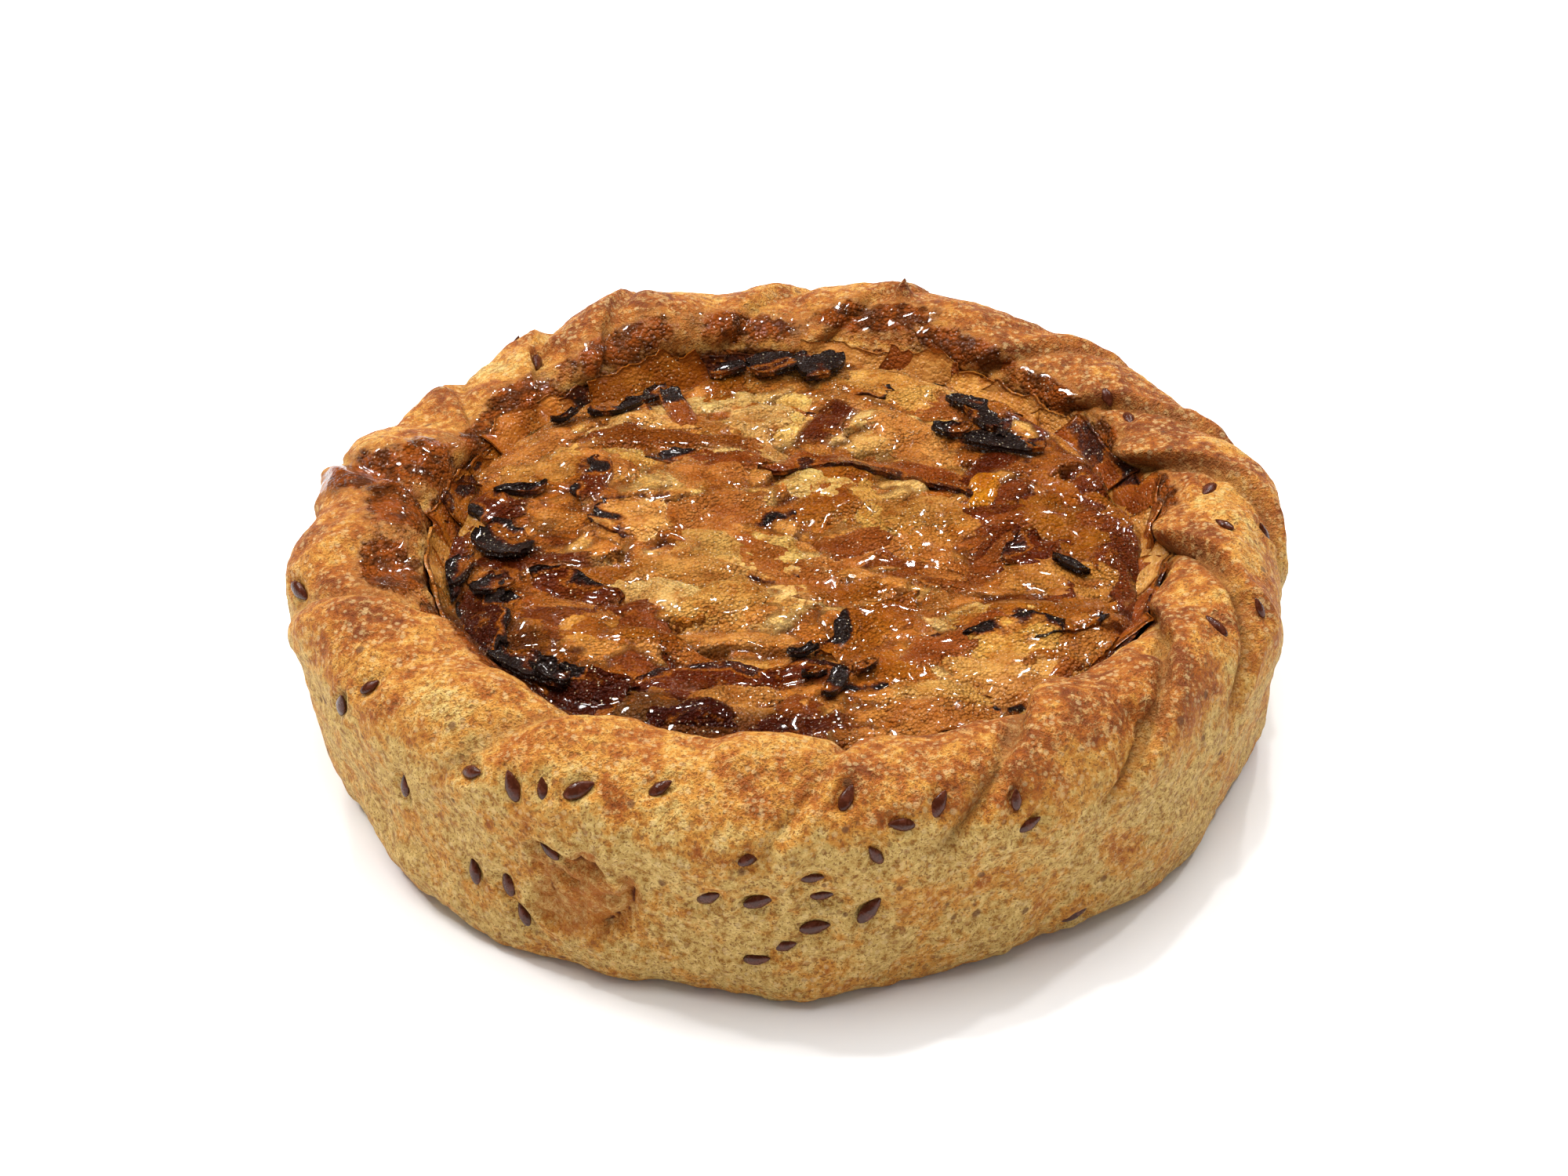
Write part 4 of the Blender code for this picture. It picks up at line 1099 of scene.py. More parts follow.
def scatter_linseeds(settings):
    """Every linseed at its place in the pastry, as one mesh: each sunk and tilted a little differently."""
    draw = random.Random(DRAW_SEEDS["sunk seeds"])
    shape, sides = seed_points(SEED_SIDES, SEED_RINGS)
    points, faces = [], []
    for row in seed_rows():
        centre, long_way, wide_way, out = seed_frame(*row)
        tilt = Matrix.Rotation(math.radians(draw.uniform(-SEED_TILT, SEED_TILT)), 3, wide_way)
        basis = np.array([tilt @ long_way, wide_way, tilt @ out])
        scale = draw.uniform(0.68, 1.0)
        start = len(points) * len(shape)
        points.append(shape * scale @ basis + np.array(centre - out * draw.uniform(0.0, 0.45)))
        faces += [[start + index for index in side] for side in sides]
    obj = mesh_from("linseeds", np.concatenate(points), faces)
    obj.data.materials.append(seed_material(settings))
    return obj


def edge_gap(angle):
    """How far the filling has shrunk from the case at each angle."""
    gap = np.zeros_like(angle)
    for at, wide, deep in SHRINK_GAPS:
        gap += deep * bell(angle_off(angle, at), wide)
    return gap


def filling_top(flat):
    """Height of the onion bed under the pieces that lie on it, at points on the ground."""
    radius = np.hypot(flat[:, 0], flat[:, 1])
    lumps = wobble(flat, 15.0, 1.5, 2.0) + wobble(flat, 6.5, 0.7, 3.0)
    return FILLING_HEIGHT + lumps - FILLING_EDGE_DROP * smooth_step((radius - 38.0) / 8.0)


def along_and_across(dx, dy, turn):
    """Distances along and across a piece that is turned by an angle in degrees."""
    turned = math.radians(turn)
    return dx * math.cos(turned) + dy * math.sin(turned), dy * math.cos(turned) - dx * math.sin(turned)


class Pile:
    """The onion on a fine square raster: its height, tone, burnt places and the run of its fibres."""

    STEP = 0.35
    HALF = 47.6

    def __init__(self, strips):
        axis = np.arange(-self.HALF, self.HALF + 0.1, self.STEP)
        self.x, self.y = np.meshgrid(axis, axis, indexing="ij")
        flat = flat_points(self.x, self.y)
        shape = self.x.shape
        self.base = filling_top(flat).reshape(shape)
        self.bed = self.base + wobble(flat, 1.5, 0.25, 22.0).reshape(shape)
        level = 0.5 + tone_level(flat[:, 0], flat[:, 1]) + wobble(flat, 2.0, 0.3, 24.0)
        self.tones = tone_between(level, BED_TONES).reshape(*shape, 3)
        self.fibres = np.stack([self.x, self.y], -1)
        self.char = np.zeros(shape)
        draw = random.Random(DRAW_SEEDS["pressing"])
        for row in strips:
            self.press(row, draw)
        self.paint_groove_shade()
        for x, y, turn, length, width, _, _, tone, burnt in ONION_PIECES:
            if tone == "char" or (burnt and not burnt.endswith("faint")):
                self.stain(x, y, turn, length, width)
        for x, y, turn, length, width, _ in CHARRED_FLAKES:
            self.stain(x, y, turn, length, width)
        pooled = 0.95 * pooled_syrup(self.x, self.y)[..., None]
        self.tones = blend(self.tones, np.array(TONES["syrup"]), pooled)
        self.top = self.bed.copy()
        self.bed = self.bed + fine_grain(shape, 5)

    def press(self, row, draw):
        """Presses one strip of onion into the bed: it shows wherever it stands above what is there."""
        x, y, turn, length, width, bend, level, tone, burnt = row
        near = np.hypot(self.x - x, self.y - y) < 0.75 * length + width
        s, t = along_and_across(self.x[near] - x, self.y[near] - y, turn)
        t = t - math.radians(bend) / (2.0 * length) * s * s + 0.6 * noise_along(s, 0.14, draw)
        uneven = 1.0 + 0.35 * noise_along(s, 0.22, draw) + 0.12 * noise_along(s, 0.9, draw)
        half_width = 0.5 * width * uneven
        half_length = 0.5 * length * (1.0 + 0.25 * noise_along(t, 0.45, draw))
        taper = 1.0 - 0.45 * np.clip(np.abs(s) / half_length, 0, 1) ** 3
        across, along = t / (half_width * taper), s / half_length
        inside = (np.abs(across) < 1.0) & (np.abs(along) < 1.0)
        edge = np.minimum((1.0 - np.abs(across)) * half_width, (1.0 - np.abs(along)) * half_length)
        edge = np.maximum(edge, 0.0)
        side = draw.choice((-1.0, 1.0))
        wrinkle = 0.10 * noise_along(t, 0.9, draw) + 0.22 * noise_along(s, 0.2, draw)
        high = self.base[near] + level + STRIP_LEAN * side * across + (draw.random() - 0.5) * 0.9 * along
        high = high + STRIP_SWELL * (1.0 - across**2) + wrinkle - 0.5 * np.exp(-edge / 0.4)
        above = high - self.bed[near]
        share = smooth_step(above / 0.22) * inside
        self.bed[near] = np.where(inside & (above > 0.0), high, self.bed[near])
        tones = np.array(tone) * (0.88 + 0.24 * draw.random()) * np.ones((len(s), 1))
        uneven = np.clip(0.6 + 0.8 * noise_along(s, 0.25, draw), 0, 1)[:, None]
        tones = tones * (uneven + (1.0 - uneven) * np.array([0.80, 0.68, 0.5]))
        rim = (0.2 + 0.7 * draw.random()) * np.exp(-edge / 0.8) * (across * side > -0.2)
        rim = (rim * np.clip(0.6 + 1.4 * noise_along(s, 0.3, draw), 0, 1))[:, None]
        tones = blend(tones, np.array(EDGE_COLOUR), rim)
        thin = (0.5 * np.exp(-edge / 0.45) * (across * side < 0.0))[:, None]
        tones = tones * (1.0 + thin * np.array([0.35, 0.5, 0.8]))
        shown = share[:, None]
        self.tones[near] = blend(self.tones[near], tones, shown)
        shift = 300.0 * draw.random()
        run = np.stack([s + shift, t + 2.0 * shift], -1)
        self.fibres[near] = np.where(shown > 0.5, run, self.fibres[near])
        scorch = 0.0
        if burnt:
            scorch = 1.1 * np.exp(-edge / 1.1) * (0.75 + noise_along(s, 0.3, draw))
            scorch = np.clip(scorch, 0, 1) * (across * side > 0)
        self.char[near] = blend(self.char[near], scorch, share)

    def paint_groove_shade(self):
        """Paints shade into the grooves between the strips, and paints light that leaves their ridges paler.
        """
        ridge = np.clip((self.bed - softened(self.bed, 27)) / 0.32, -1.0, 1.0)[..., None]
        darker, paler = ridge * np.array([0.50, 0.66, 0.80]), ridge * np.array([0.22, 0.30, 0.42])
        self.tones = self.tones * (1.0 + np.where(ridge < 0.0, darker, paler))

    def stain(self, x, y, turn, length, width):
        """Browns the bed round a burnt piece."""
        s, t = along_and_across(self.x - x, self.y - y, turn)
        past = np.hypot(np.maximum(np.abs(s) - 0.5 * length, 0.0), np.maximum(np.abs(t) - 0.5 * width, 0.0))
        self.char = np.maximum(self.char, 0.34 * bell(past, 2.0))

    def read(self, grid, x, y):
        """Values between the points of the raster."""
        i = np.clip((x + self.HALF) / self.STEP, 0, grid.shape[0] - 1.001)
        j = np.clip((y + self.HALF) / self.STEP, 0, grid.shape[1] - 1.001)
        a, b = i.astype(int), j.astype(int)
        s, t = i - a, j - b
        if grid.ndim == 3:
            s, t = s[..., None], t[..., None]
        low = blend(grid[a, b], grid[a + 1, b], s)
        return blend(low, blend(grid[a, b + 1], grid[a + 1, b + 1], s), t)

    def cover(self, x, y, z):
        """Raises the top to the heights of a piece that has been laid."""
        i = np.clip(np.rint((x + self.HALF) / self.STEP).astype(int), 0, self.top.shape[0] - 1)
        j = np.clip(np.rint((y + self.HALF) / self.STEP).astype(int), 0, self.top.shape[1] - 1)
        np.maximum.at(self.top, (i, j), z)


def pooled_syrup(x, y):
    """1 where dark syrup has pooled, along the front left edge of the filling."""
    at, half, inner = SYRUP_POOL
    ring = np.hypot(x, y) + 3.2 * noise_sheet(0.16 * x, 0.16 * y, 4.0)
    off = np.abs(angle_off(np.degrees(np.arctan2(y, x)), at))
    return smooth_step((ring - inner) / 4.0) * (1.0 - smooth_step((off - half) / 16.0))


def noise_along(values, size, draw):
    """Smooth noise read at each value, from a short table of its own."""
    seed = draw.random() * 100.0
    knots = np.linspace(-40.0, 40.0, 161)
    return 1.6 * np.interp(values, knots, noise_row(knots, size, seed))


def softened(grid, times):
    """A grid averaged with its neighbours a few times."""
    for _ in range(times):
        wide = np.pad(grid, 1, mode="edge")
        grid = (2.0 * grid + wide[:-2, 1:-1] + wide[2:, 1:-1] + wide[1:-1, :-2] + wide[1:-1, 2:]) / 6.0
    return grid


def finer(grid):
    """A grid with its points doubled between each pair, both ways."""
    rows = np.empty((grid.shape[0] * 2 - 1, grid.shape[1]))
    rows[::2], rows[1::2] = grid, 0.5 * (grid[1:] + grid[:-1])
    both = np.empty((rows.shape[0], rows.shape[1] * 2 - 1))
    both[:, ::2], both[:, 1::2] = rows, 0.5 * (rows[:, 1:] + rows[:, :-1])
    return both


def fine_grain(shape, seed):
    """Tiny uneven heights, which break up the highlights on the syrup."""
    return np.random.default_rng(seed).normal(0.0, GRAIN_HEIGHT, shape)


def noise_row(values, size, seed):
    """Smooth noise along a line of values."""
    return np.array([noise.noise(Vector((value * size, seed, 0.5 * seed))) for value in values])


def noise_sheet(first, second, seed):
    """Smooth noise over a grid of two coordinates."""
    flat = zip(first.ravel(), second.ravel())
    return np.array([noise.noise(Vector((a, b, seed))) for a, b in flat]).reshape(first.shape)


def even_grid(rows, across):
    """Two coordinates from -1 to 1 over a grid."""
    return np.meshgrid(np.linspace(-1, 1, rows), np.linspace(-1, 1, across), indexing="ij")


def raised_side(u, v, burnt):
    """From 0 to 1 towards the burnt edge or end of a petal, or None where it has none."""
    side = {"near": -v, "far": v, "start": -u, "end": u}.get(burnt.split(" ")[0])
    return None if side is None else 0.5 + 0.5 * side


def lay_petal(pile, draw, row, thickness):
    """One onion petal laid on the pile: its points, faces, strip coordinates, tones and burnt mask."""
    x, y, turn, length, width, bend, lift, tone, burnt = row
    u, v = even_grid(max(8, int(length / PETAL_STEP)), max(6, int(width / PETAL_STEP)))
    seed = draw.random() * 100.0
    torn_end = noise_row(v[0], 2.6, seed) + 0.5 * noise_row(v[0], 7.0, seed + 7.0)
    torn_side = noise_row(u[:, 0], 0.12 * length, seed + 3.0)[:, None]
    if tone == "char":
        torn_side = torn_side + 0.9 * noise_row(u[:, 0], 0.3 * length, seed + 11.0)[:, None]
    nick = noise_row(u[:, 0], 0.45 * length, seed + 5.0)[:, None] * v
    reach = u * (1.0 + 0.26 * torn_end * u**2)
    taper = 1.0 - (0.15 + 0.35 * draw.random()) * np.abs(u) ** (2.0 + 3.0 * draw.random())
    half = 0.5 * width * taper * (1.0 + 0.35 * torn_side + 0.22 * nick)
    arc = math.radians(bend if abs(bend) > 1.0 else 1.0)
    spine = length / arc
    along = (spine - half * v) * np.sin(0.5 * arc * reach)
    side = spine - (spine - half * v) * np.cos(0.5 * arc * reach) + 0.7 * torn_side
    turned = math.radians(turn)
    px = x + along * math.cos(turned) - side * math.sin(turned)
    py = y + along * math.sin(turned) + side * math.cos(turned)
    radius = np.hypot(px, py)
    angle = np.degrees(np.arctan2(py, px))
    limit = FILLING_EDGE_RADIUS - 0.8 - 0.8 * edge_gap(angle)
    px, py = px * np.minimum(1.0, limit / radius), py * np.minimum(1.0, limit / radius)

    bed = pile.read(pile.bed, px, py)
    support = softened(0.5 * pile.read(pile.top, px, py) + 0.5 * bed, 5)
    ripple = noise_sheet(u * length * 0.13, v * width * 0.15, seed)
    wrinkle = noise_sheet(u * length * 0.16, v * width * 0.75, seed + 9.0)
    raised = raised_side(u, v, burnt)
    share = 0.45 if raised is None else 0.1 + 1.1 * raised**1.5
    lean = (draw.random() - 0.5) * 0.5 * v + (draw.random() - 0.5) * 0.5 * u
    outer = np.maximum(smooth_step((np.abs(v) - 0.55) / 0.45), smooth_step((np.abs(u) - 0.65) / 0.35))
    if tone == "char":
        share = 0.75
        lean = lean + 0.45 * v * v + 0.4 * u * u - 0.3
        outer = np.zeros(u.shape)
    elif raised is not None:
        outer = outer * (1.0 - smooth_step((raised - 0.45) / 0.35))
    outer = outer * np.clip(1.15 + 1.2 * ripple, 0.0, 1.0)
    z = support + 0.30 + lift * share + lean + 0.4 * ripple + 0.18 * wrinkle
    z = np.minimum(blend(z, bed - 0.12, outer), PIECES_TOP)
    z = z + 1.3 * fine_grain(z.shape, int(1000.0 * seed))
    pile.cover(*(finer(finer(grid)).ravel() for grid in (px, py, z)))

    upper = np.stack([px, py, z], -1).reshape(-1, 3)
    merge = (pile.read(pile.tones, px, py).reshape(-1, 3), 0.45 * outer.reshape(-1, 1))
    lower = upper - [0.0, 0.0, thickness / MM]
    return petal_parts(upper, lower, u, v, (length, width), row, ripple, draw, merge)


def petal_parts(upper, lower, u, v, size, row, ripple, draw, merge=None):
    """A closed petal from its upper and lower points, with its strip coordinates, tones and burnt mask.

    The tones are merged with those under the petal where these are given, with a share for each point.
    """
    rows, across = u.shape
    tone, burnt = row[-2], row[-1]
    count = rows * across
    rim = border_of(rows, across)
    walls = [(rim[k], rim[k - 1], rim[k - 1] + count, rim[k] + count) for k in range(len(rim))]
    faces = [sheet_faces(rows, across)[:, ::-1], sheet_faces(rows, across, count), np.array(walls)]
    shift = 300.0 * draw.random()
    strip = np.stack([u * 0.5 * size[0] + shift, v * 0.5 * size[1] + 2.0 * shift], -1).reshape(-1, 2)
    colours = petal_tones(tone, u, v, ripple, draw)
    if merge:
        colours = blend(colours, *merge)
    pooled = 0.85 * pooled_syrup(upper[:, 0], upper[:, 1])[:, None]
    colours = blend(colours, np.array(TONES["syrup"]), pooled)
    char = np.clip(burnt_edges(u, v, burnt, tone, ripple), 0.0, 1.0).ravel()
    points = np.concatenate([upper, lower])
    return points, np.concatenate(faces), np.tile(strip, (2, 1)), np.tile(colours, (2, 1)), np.tile(char, 2)


def lay_wall_petal(draw, at, wide, reach, stand, tone, burnt, thickness):
    """One thin onion petal that lies against the inside of the case and over its lip."""
    u, v = even_grid(max(6, int(wide / PETAL_STEP)), WALL_PETAL_POINTS)
    seed = draw.random() * 100.0
    ragged = noise_row(u[:, 0], 0.12 * wide, seed) + 0.3 * noise_row(u[:, 0], 0.4 * wide, seed + 4.0)
    ragged = ragged[:, None]
    taper = 1.0 - 0.3 * smooth_step(v) * draw.random()
    angle = at + np.degrees(0.5 * wide * u * taper / MOUTH_RADIUS) + 1.5 * noise_row(v[0], 0.8, seed + 2.0)
    up = 0.5 + 0.5 * v
    along = MOUTH_AT - 6.0 + up * (6.0 + reach * (1.0 + 0.5 * ragged) + 1.2 * ragged)
    flat_angle, flat_along = angle.ravel(), along.ravel()
    column = 2.0 * flat_angle - twisted(flat_angle, flat_along)
    wall = case_point(column, flat_along)
    turn = np.radians(flat_angle)
    rise = smooth_step((flat_along - MOUTH_AT + 1.0) / 6.0) * math.radians(75.0)
    inward = np.stack([-np.cos(turn) * np.cos(rise), -np.sin(turn) * np.cos(rise), np.sin(rise)], 1)
    ripple = noise_sheet(u * wide * 0.14, v * 0.9, seed + 6.0)
    off = 0.62 + stand * (1.0 - up) ** 1.4 + 0.35 * ripple + 0.25 * np.abs(u) ** 3
    upper = wall + inward * np.maximum(off, 0.45).ravel()[:, None]
    lower = upper - inward * 0.6 * thickness / MM
    # Painted light: the petal's tone is raised, as it stands in the shade of the case
    row = (tuple(WALL_PETAL_PAINTED_LIGHT * value for value in TONES[tone]), burnt)
    return petal_parts(upper, lower, u, v, (wide, 8.0), row, ripple, draw)


def border_of(rows, across):
    """Indices round the border of a grid, in order."""
    last = (rows - 1) * across
    return [
        *range(0, across - 1),
        *range(across - 1, rows * across - 1, across),
        *range(rows * across - 1, last, -1),
        *range(last, 0, -across),
    ]


def burnt_edges(u, v, burnt, tone, ripple):
    """How burnt each point of a petal is: all of it, or along one edge or end."""
    if tone == "char":
        return np.clip(0.62 + 1.5 * ripple + 0.3 * np.maximum(np.abs(u), np.abs(v)) ** 2, 0.15, 1.0)
    if tone == "syrup":
        return np.zeros(u.shape)
    raised = raised_side(u, v, burnt)
    if raised is None:
        return np.clip((np.maximum(np.abs(v), np.abs(u)) - 0.9) * 2.0 + ripple * 0.7, 0.0, 0.22)
    most = 0.55 if burnt.endswith("faint") else 1.0
    return np.clip((raised - 0.72 + 0.75 * ripple + 0.25 * np.roll(ripple, 3, 0)) / 0.32, 0.0, most)


def petal_tones(tone, u, v, ripple, draw):
    """Colour of each point of a petal: its tone, uneven, with some of its edges darker."""
    base = np.array(TONES[tone] if isinstance(tone, str) else tone) * (0.88 + 0.26 * draw.random())
    base = base * np.array([1.0, 0.95 + 0.14 * draw.random(), 0.85 + 0.35 * draw.random()])
    uneven = np.clip(0.62 + 0.9 * ripple, 0.0, 1.0)[..., None]
    colours = blend(base * np.array([0.66, 0.52, 0.38]), base, uneven)
    patchy = np.clip(0.25 + 1.6 * ripple[::-1, ::-1], 0.0, 1.0) * (0.15 + 0.55 * draw.random())
    side, end = smooth_step((np.abs(v) - 0.7) / 0.3), smooth_step((np.abs(u) - 0.85) / 0.15)
    rim = (patchy * np.maximum(side, 0.8 * end))[..., None]
    return blend(colours, np.array(EDGE_COLOUR), rim).reshape(-1, 3)


def join_petals(name, petals, material):
    """One object from many laid petals."""
    points, faces, strips, colours, chars = zip(*petals)
    starts = np.cumsum([0, *(len(part) for part in points[:-1])])
    obj = mesh_from(name, np.concatenate(points), np.concatenate([a + b for a, b in zip(faces, starts)]))
    add_colours(obj, "tone", np.concatenate(colours))
    add_mask(obj, "char", np.concatenate(chars))
    add_strip_map(obj, np.concatenate(strips))
    obj.data.materials.append(material)
    return obj


def add_strip_map(obj, strips):
    """Coordinates along and across each strip, as a UV map."""
    corners = np.empty(len(obj.data.loops), np.int32)
    obj.data.loops.foreach_get("vertex_index", corners)
    layer = obj.data.uv_layers.new(name="strip")
    layer.data.foreach_set("uv", strips[corners].astype(np.float32).ravel())


def lay_bed(pile, settings):
    """The onion bed: one mass of pressed strips, down to the pastry at its edge."""
    count = BED_POINTS
    a, b = even_grid(count, count)
    x, y = a * np.sqrt(1.0 - b * b / 2.0), b * np.sqrt(1.0 - a * a / 2.0)
    ring = FILLING_EDGE_RADIUS * np.minimum(np.hypot(x, y), 1.0)
    angle = np.arctan2(y, x)
    radius = ring - edge_gap(np.degrees(angle)) * smooth_step((ring - 24.0) / 18.0)
    x, y = radius * np.cos(angle), radius * np.sin(angle)
    edge = smooth_step((ring - FILLING_EDGE_RADIUS + 1.8) / 1.8)
    z = pile.read(pile.bed, x, y) - 1.8 * edge
    upper = np.stack([x, y, z], -1).reshape(-1, 3)
    rim = border_of(count, count)
    lower = upper[rim].copy()
    lower[:, 2] = BED_BOTTOM
    first, turns = count * count, range(len(rim))
    skirt = [(rim[k], rim[k - 1], first + (k - 1) % len(rim), first + k) for k in turns]
    faces = np.concatenate([sheet_faces(count, count)[:, ::-1], np.array(skirt)])
    obj = mesh_from("onion_bed", np.concatenate([upper, lower]), faces)

    tones = pile.read(pile.tones, x, y)
    # Painted shade: the bed darkens towards its edge, where it drops into the gap by the case, and its skirt
    # is dark all over
    side = 0.7 * smooth_step((ring - 43.5) / 2.5)[..., None]
    tones = blend(tones, np.array(TONES["dark"]), side).reshape(-1, 3)
    add_colours(obj, "tone", np.concatenate([tones, np.tile(TONES["dark"], (len(rim), 1))]))
    add_mask(obj, "char", np.r_[pile.read(pile.char, x, y).ravel(), np.zeros(len(rim))])
    fibres = pile.read(pile.fibres, x, y).reshape(-1, 2)
    add_strip_map(obj, np.concatenate([fibres, fibres[rim]]))
    obj.data.materials.append(onion_material(settings))
    return obj


def tone_between(level, names):
    """A colour read along a row of tones, from 0 at the first to 1 at the last."""
    steps = np.linspace(0.0, 1.0, len(names))
    table = np.array([TONES[name] for name in names])
    return np.stack([np.interp(np.clip(level, 0, 1), steps, table[:, k]) for k in range(3)], 1)


def tone_level(x, y):
    """How much paler or darker than the middle tone the onion is at a place."""
    total = wobble(flat_points(x, y), 8.0, 0.55, 23.0)
    for px, py, wide, change in TONED_PLACES:
        total = total + change * np.exp(-((x - px) ** 2 + (y - py) ** 2) / wide**2)
    return total


def loose_rows(draw, count, rise):
    """Onion strips strewn over the bed: most lie from left to right, and tones follow the place.

    A rise of 1 is for the strips that are pressed into the bed, and 0 for those that lie loose on it.
    """
    rows = []
    for _ in range(count):
        angle = 2.0 * math.pi * draw.random()
        radius = STREWN_RADIUS * math.sqrt(draw.random())
        x, y = radius * math.cos(angle), radius * math.sin(angle)
        level = 0.5 + float(tone_level(x, y)[0]) + draw.gauss(0.0, TONE_SPREAD)
        tone = tuple(tone_between(np.array([level]), BED_TONES)[0])
        if draw.random() < AMBER_SHARE:
            tone = TONES["amber"]
        turn = draw.gauss(0.0, TURN_SPREAD)
        if radius > EDGE_RING:
            turn = math.degrees(angle) + 90.0 + draw.gauss(0.0, EDGE_TURN_SPREAD)
        length = draw.uniform(*STRIP_LENGTHS)
        width = draw.uniform(*STRIP_WIDTHS)
        burnt = draw.choice(("near", "far", "start", "end")) if draw.random() < BURNT_SHARE else ""
        lift = draw.uniform(0.0, 1.3) * rise + draw.uniform(-0.3, 0.1) * (1.0 - rise)
        rows.append((x, y, turn, length, width, draw.uniform(-STRIP_BEND, STRIP_BEND), lift, tone, burnt))
    return rows


def wall_rows(draw):
    """Petals against the inside of the case: large and close at the back, further apart at the front."""
    rows = []
    at = WALL_PETALS_FROM
    while at < WALL_PETALS_FROM + 360.0:
        reaches, widths, steps = BACK_WALL_PETALS if at < WALL_PETALS_FRONT else FRONT_WALL_PETALS
        tone = draw.choice(WALL_PETAL_TONES)
        burnt = "far faint" if draw.random() < WALL_PETAL_BURNT_SHARE else ""
        reach = draw.uniform(*reaches)
        wide = draw.uniform(*widths)
        rows.append((at, wide, reach, draw.uniform(*WALL_PETAL_STANDS), tone, burnt))
        at += draw.uniform(*steps)
    return rows


PILE = {}


def current_pile(settings):
    """The pile that all filling pieces share, made when it is first asked for."""
    if "pile" not in PILE:
        PILE["pile"] = Pile(loose_rows(random.Random(DRAW_SEEDS["strips"]), settings.pressed_strips, 1.0))
    return PILE["pile"]


def stand_for(obj, slot, *nodes):
    """Sets a finished piece on the frame in place of its solid."""
    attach(obj, "root")
    if nodes:
        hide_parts(*nodes)


class TART_OT_pastry_case(Operator):
    """Make the folded pastry case"""

    bl_idname = "onion_tart.pastry_case"
    bl_label = "Pastry case"

    def execute(self, context):
        stand_for(bake_pastry_case(context.scene.tart_pastry), "pastry", "pastry_case")
        return {"FINISHED"}


class TART_OT_linseeds(Operator):
    """Press the linseeds into the pastry"""

    bl_idname = "onion_tart.linseeds"
    bl_label = "Linseeds"

    def execute(self, context):
        stand_for(scatter_linseeds(context.scene.tart_seeds), "pastry")
        return {"FINISHED"}


class TART_OT_onion_bed(Operator):
    """Make the bed of onion that fills the case"""

    bl_idname = "onion_tart.onion_bed"
    bl_label = "Onion bed"

    def execute(self, context):
        settings = context.scene.tart_filling
        stand_for(lay_bed(current_pile(settings), settings), "caramelised_onion", "onion_filling")
        return {"FINISHED"}


class TART_OT_onion_pieces(Operator):
    """Lay the loose onion pieces, and the named ones over them"""

    bl_idname = "onion_tart.onion_pieces"
    bl_label = "Onion pieces"

    def execute(self, context):
        settings = context.scene.tart_filling
        draw = random.Random(DRAW_SEEDS["pieces"])
        pile = current_pile(settings)
        rows = loose_rows(draw, settings.loose_pieces, 0.0)
        loose = [lay_petal(pile, draw, row, settings.thickness) for row in rows]
        material = onion_material(settings)
        stand_for(join_petals("loose_onion_pieces", loose, material), "caramelised_onion")
        named = [lay_petal(pile, draw, row, settings.thickness) for row in ONION_PIECES]
        stand_for(join_petals("large_onion_pieces", named, material), "caramelised_onion")
        return {"FINISHED"}


class TART_OT_wall_petals(Operator):
    """Lay thin onion petals against the inside of the case"""

    bl_idname = "onion_tart.wall_petals"
    bl_label = "Wall petals"

    def execute(self, context):
        settings = context.scene.tart_filling
        draw = random.Random(DRAW_SEEDS["wall"])
        petals = [lay_wall_petal(draw, *row, settings.thickness) for row in wall_rows(draw)]
        material = onion_material(settings, "glazed_wall_petals", 0.35)
        stand_for(join_petals("wall_onion_petals", petals, material), "caramelised_onion")
        return {"FINISHED"}


class TART_OT_charred_flakes(Operator):
    """Lay the charred flakes on the onion"""

    bl_idname = "onion_tart.charred_flakes"
    bl_label = "Charred flakes"

    def execute(self, context):
        settings = context.scene.tart_filling
        draw = random.Random(DRAW_SEEDS["flakes"])
        rows = [(x, y, turn, length, width, draw.uniform(-FLAKE_BEND, FLAKE_BEND), lift, "char", "")
                for x, y, turn, length, width, lift in CHARRED_FLAKES]
        flakes = [lay_petal(current_pile(settings), draw, row, settings.thickness) for row in rows]
        stand_for(join_petals("charred_flakes", flakes, onion_material(settings)), "caramelised_onion")
        return {"FINISHED"}


def area_light(name, place, size, power, colour):
    light = bpy.data.lights.new(name, "AREA")
    light.shape = "DISK"
    light.size = size
    light.energy = power
    light.color = colour
    obj = bpy.data.objects.new(name, light)
    obj.location = place
    obj.rotation_euler = (Vector(LIGHTS_AIM) - Vector(place)).to_track_quat("-Z", "Y").to_euler()
    bpy.context.scene.collection.objects.link(obj)
    return obj


# The camera that the photograph was taken from: how far away and how high up it is, and where the middle of
# the tart lies in the photograph, as the focal length and the offsets of its middle in pixels
CAMERA_DISTANCE = 455.0
CAMERA_RISE = 36.0
CAMERA_AIM = (4308.0, -14.4, 138.3)
SENSOR_WIDTH = 36.0


def set_camera(settings):
    camera = bpy.data.cameras.new("camera")
    camera.lens = settings.lens
    camera.sensor_width = SENSOR_WIDTH
    camera.clip_start = 0.01
    obj = bpy.data.objects.new("camera", camera)
    bpy.context.scene.collection.objects.link(obj)
    rise = math.radians(CAMERA_RISE)
    back = Vector((0.0, -math.cos(rise), math.sin(rise)))
    right = Vector((1.0, 0.0, 0.0))
    up = back.cross(right)
    base = Vector((*MIDDLE_SHIFT, 0.0)) * MM
    obj.location = base + back * CAMERA_DISTANCE * MM
    looking = -back * CAMERA_AIM[0] + right * CAMERA_AIM[1] + up * CAMERA_AIM[2]
    obj.rotation_euler = looking.to_track_quat("-Z", "Y").to_euler()
    bpy.context.scene.camera = obj


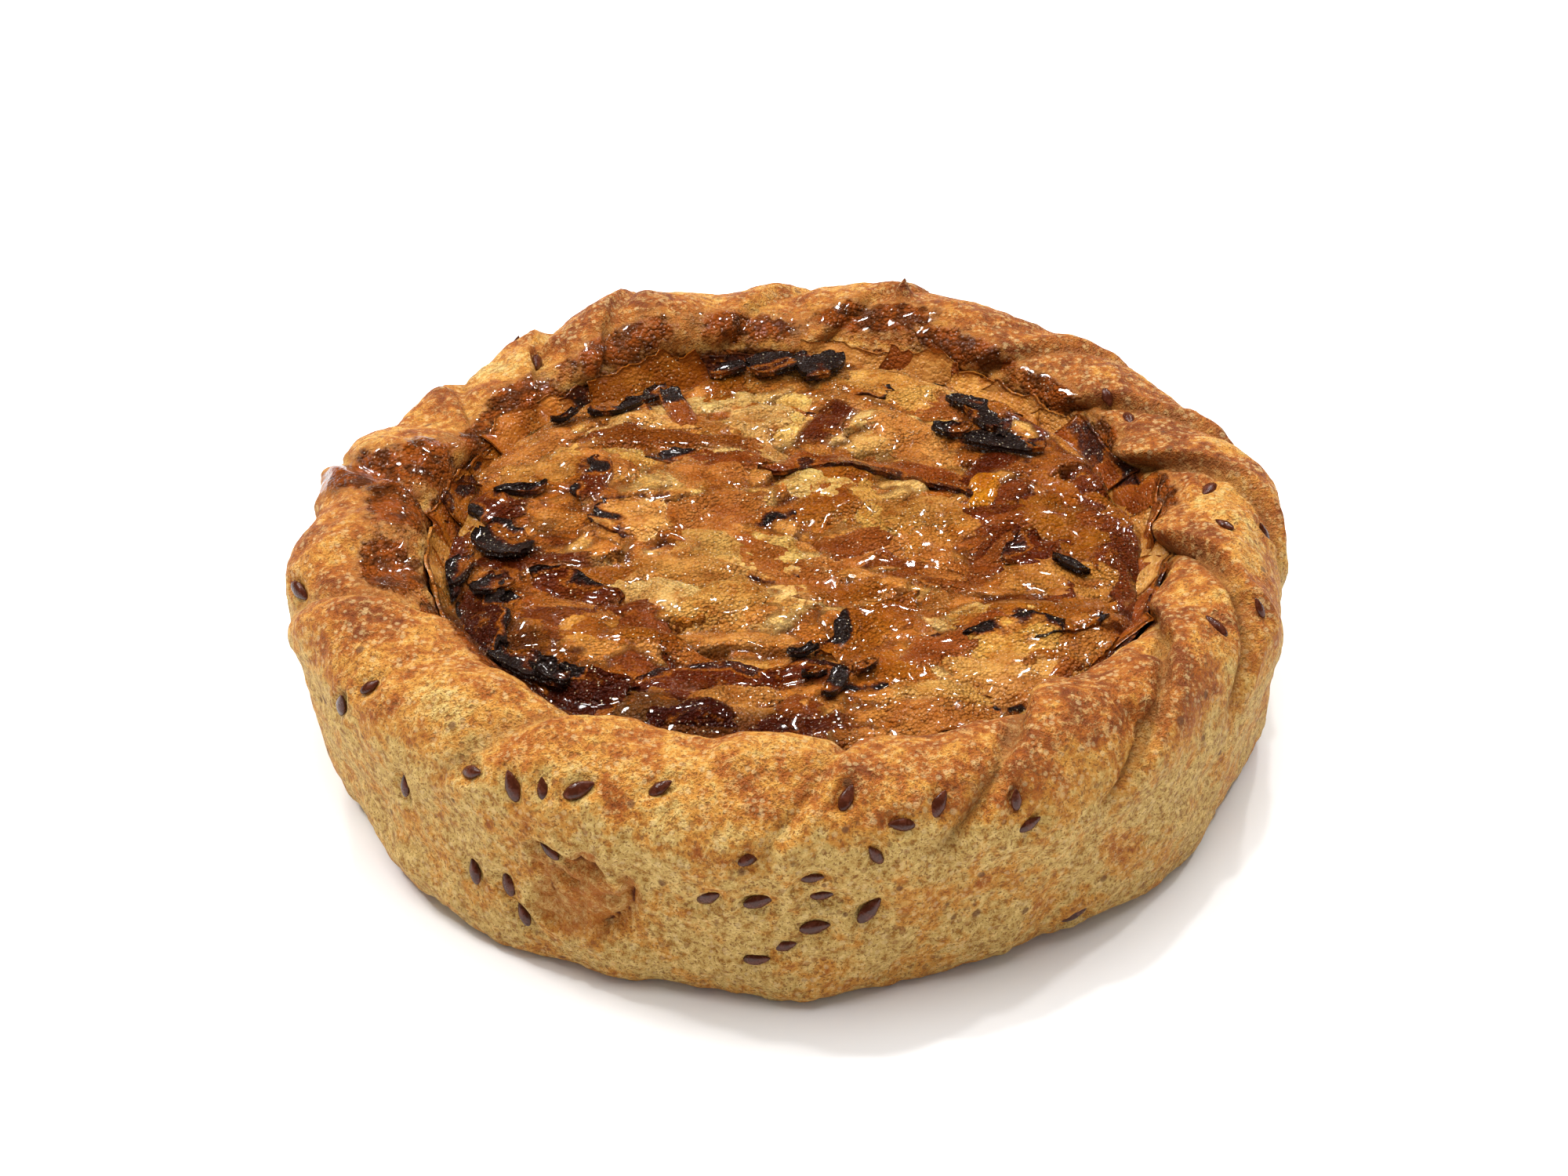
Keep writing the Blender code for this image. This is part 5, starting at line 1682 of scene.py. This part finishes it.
# Lights, floor and world: the lights hang at these places and are this wide, in metres
LIGHTS_AIM = (0.0, 0.0, 0.02)
KEY_PLACE, KEY_SIZE = (-1.4, 0.7, 2.0), 0.42
FILL_PLACE, FILL_SIZE = (-0.15, -0.1, 2.6), 2.2
SPARK_SIZE = 0.10
FLOOR_HALF = 3.0
WORLD_STRENGTH = 0.36
WHITE = (1.0, 1.0, 1.0)
SPARK_LIGHTS = {
    "spark_light_back": (0.45, 1.35, 1.25),
    "spark_light_back_left": (-0.6, 1.25, 1.35),
    "spark_light_left": (-1.1, 0.35, 1.35),
    "spark_light_top": (0.1, 0.5, 1.8),
    "spark_light_right": (0.9, 0.7, 1.4),
}


class TART_OT_stage(Operator):
    """Make the floor, lights and camera"""

    bl_idname = "onion_tart.stage"
    bl_label = "Stage"

    def execute(self, context):
        settings = context.scene.tart_stage
        half = FLOOR_HALF
        corners = [(-half, -half, 0.0), (half, -half, 0.0), (half, half, 0.0), (-half, half, 0.0)]
        mesh = bpy.data.meshes.new("floor")
        mesh.from_pydata(corners, [], [(0, 1, 2, 3)])
        floor = bpy.data.objects.new("floor", mesh)
        context.scene.collection.objects.link(floor)
        material, sketch, shader = new_material("plain_floor")
        looks = {"Base Color": settings.floor_colour, "Roughness": 0.9, "Specular IOR Level": 0.1}
        sketch.fill(shader, looks)
        mesh.materials.append(material)

        area_light("key_light", KEY_PLACE, KEY_SIZE, settings.key_power, (1.0, 0.985, 0.965))
        fill = area_light("fill_light", FILL_PLACE, FILL_SIZE, settings.fill_power, WHITE)
        fill.visible_glossy = False
        for name, place in SPARK_LIGHTS.items():
            area_light(name, place, SPARK_SIZE, settings.spark_power, WHITE)

        world = bpy.data.worlds.new("soft_white")
        world.use_nodes = True
        background = world.node_tree.nodes["Background"]
        background.inputs["Color"].default_value = (*WHITE, 1.0)
        background.inputs["Strength"].default_value = WORLD_STRENGTH
        world.cycles_visibility.glossy = False
        context.scene.world = world
        context.scene.view_settings.view_transform = "Standard"
        context.scene.cycles.use_denoising = True
        set_camera(settings)
        return {"FINISHED"}


class TART_PT_panel(Panel):
    """Lists the pieces of the onion tart"""

    bl_idname = "TART_PT_panel"
    bl_label = "Onion tart"
    bl_space_type = "VIEW_3D"
    bl_region_type = "UI"
    bl_category = "Onion tart"

    def draw(self, context):
        for operator in OPERATORS:
            self.layout.operator(operator.bl_idname)


SETTINGS = {
    "tart_pastry": PastrySettings,
    "tart_seeds": SeedSettings,
    "tart_filling": FillingSettings,
    "tart_stage": StageSettings,
}
OPERATORS = (
    TART_OT_pastry_case,
    TART_OT_linseeds,
    TART_OT_onion_bed,
    TART_OT_wall_petals,
    TART_OT_onion_pieces,
    TART_OT_charred_flakes,
    TART_OT_stage,
)


def register():
    for name, group in SETTINGS.items():
        bpy.utils.register_class(group)
        setattr(bpy.types.Scene, name, PointerProperty(type=group))
    for operator in OPERATORS:
        bpy.utils.register_class(operator)
    bpy.utils.register_class(TART_PT_panel)


def unregister():
    bpy.utils.unregister_class(TART_PT_panel)
    for operator in reversed(OPERATORS):
        bpy.utils.unregister_class(operator)
    for name, group in SETTINGS.items():
        delattr(bpy.types.Scene, name)
        bpy.utils.unregister_class(group)


def main():
    register()
    bpy.ops.onion_tart.pastry_case()
    bpy.ops.onion_tart.linseeds()
    bpy.ops.onion_tart.onion_bed()
    bpy.ops.onion_tart.wall_petals()
    bpy.ops.onion_tart.onion_pieces()
    bpy.ops.onion_tart.charred_flakes()
    bpy.ops.onion_tart.stage()


if __name__ == "__main__":
    main()
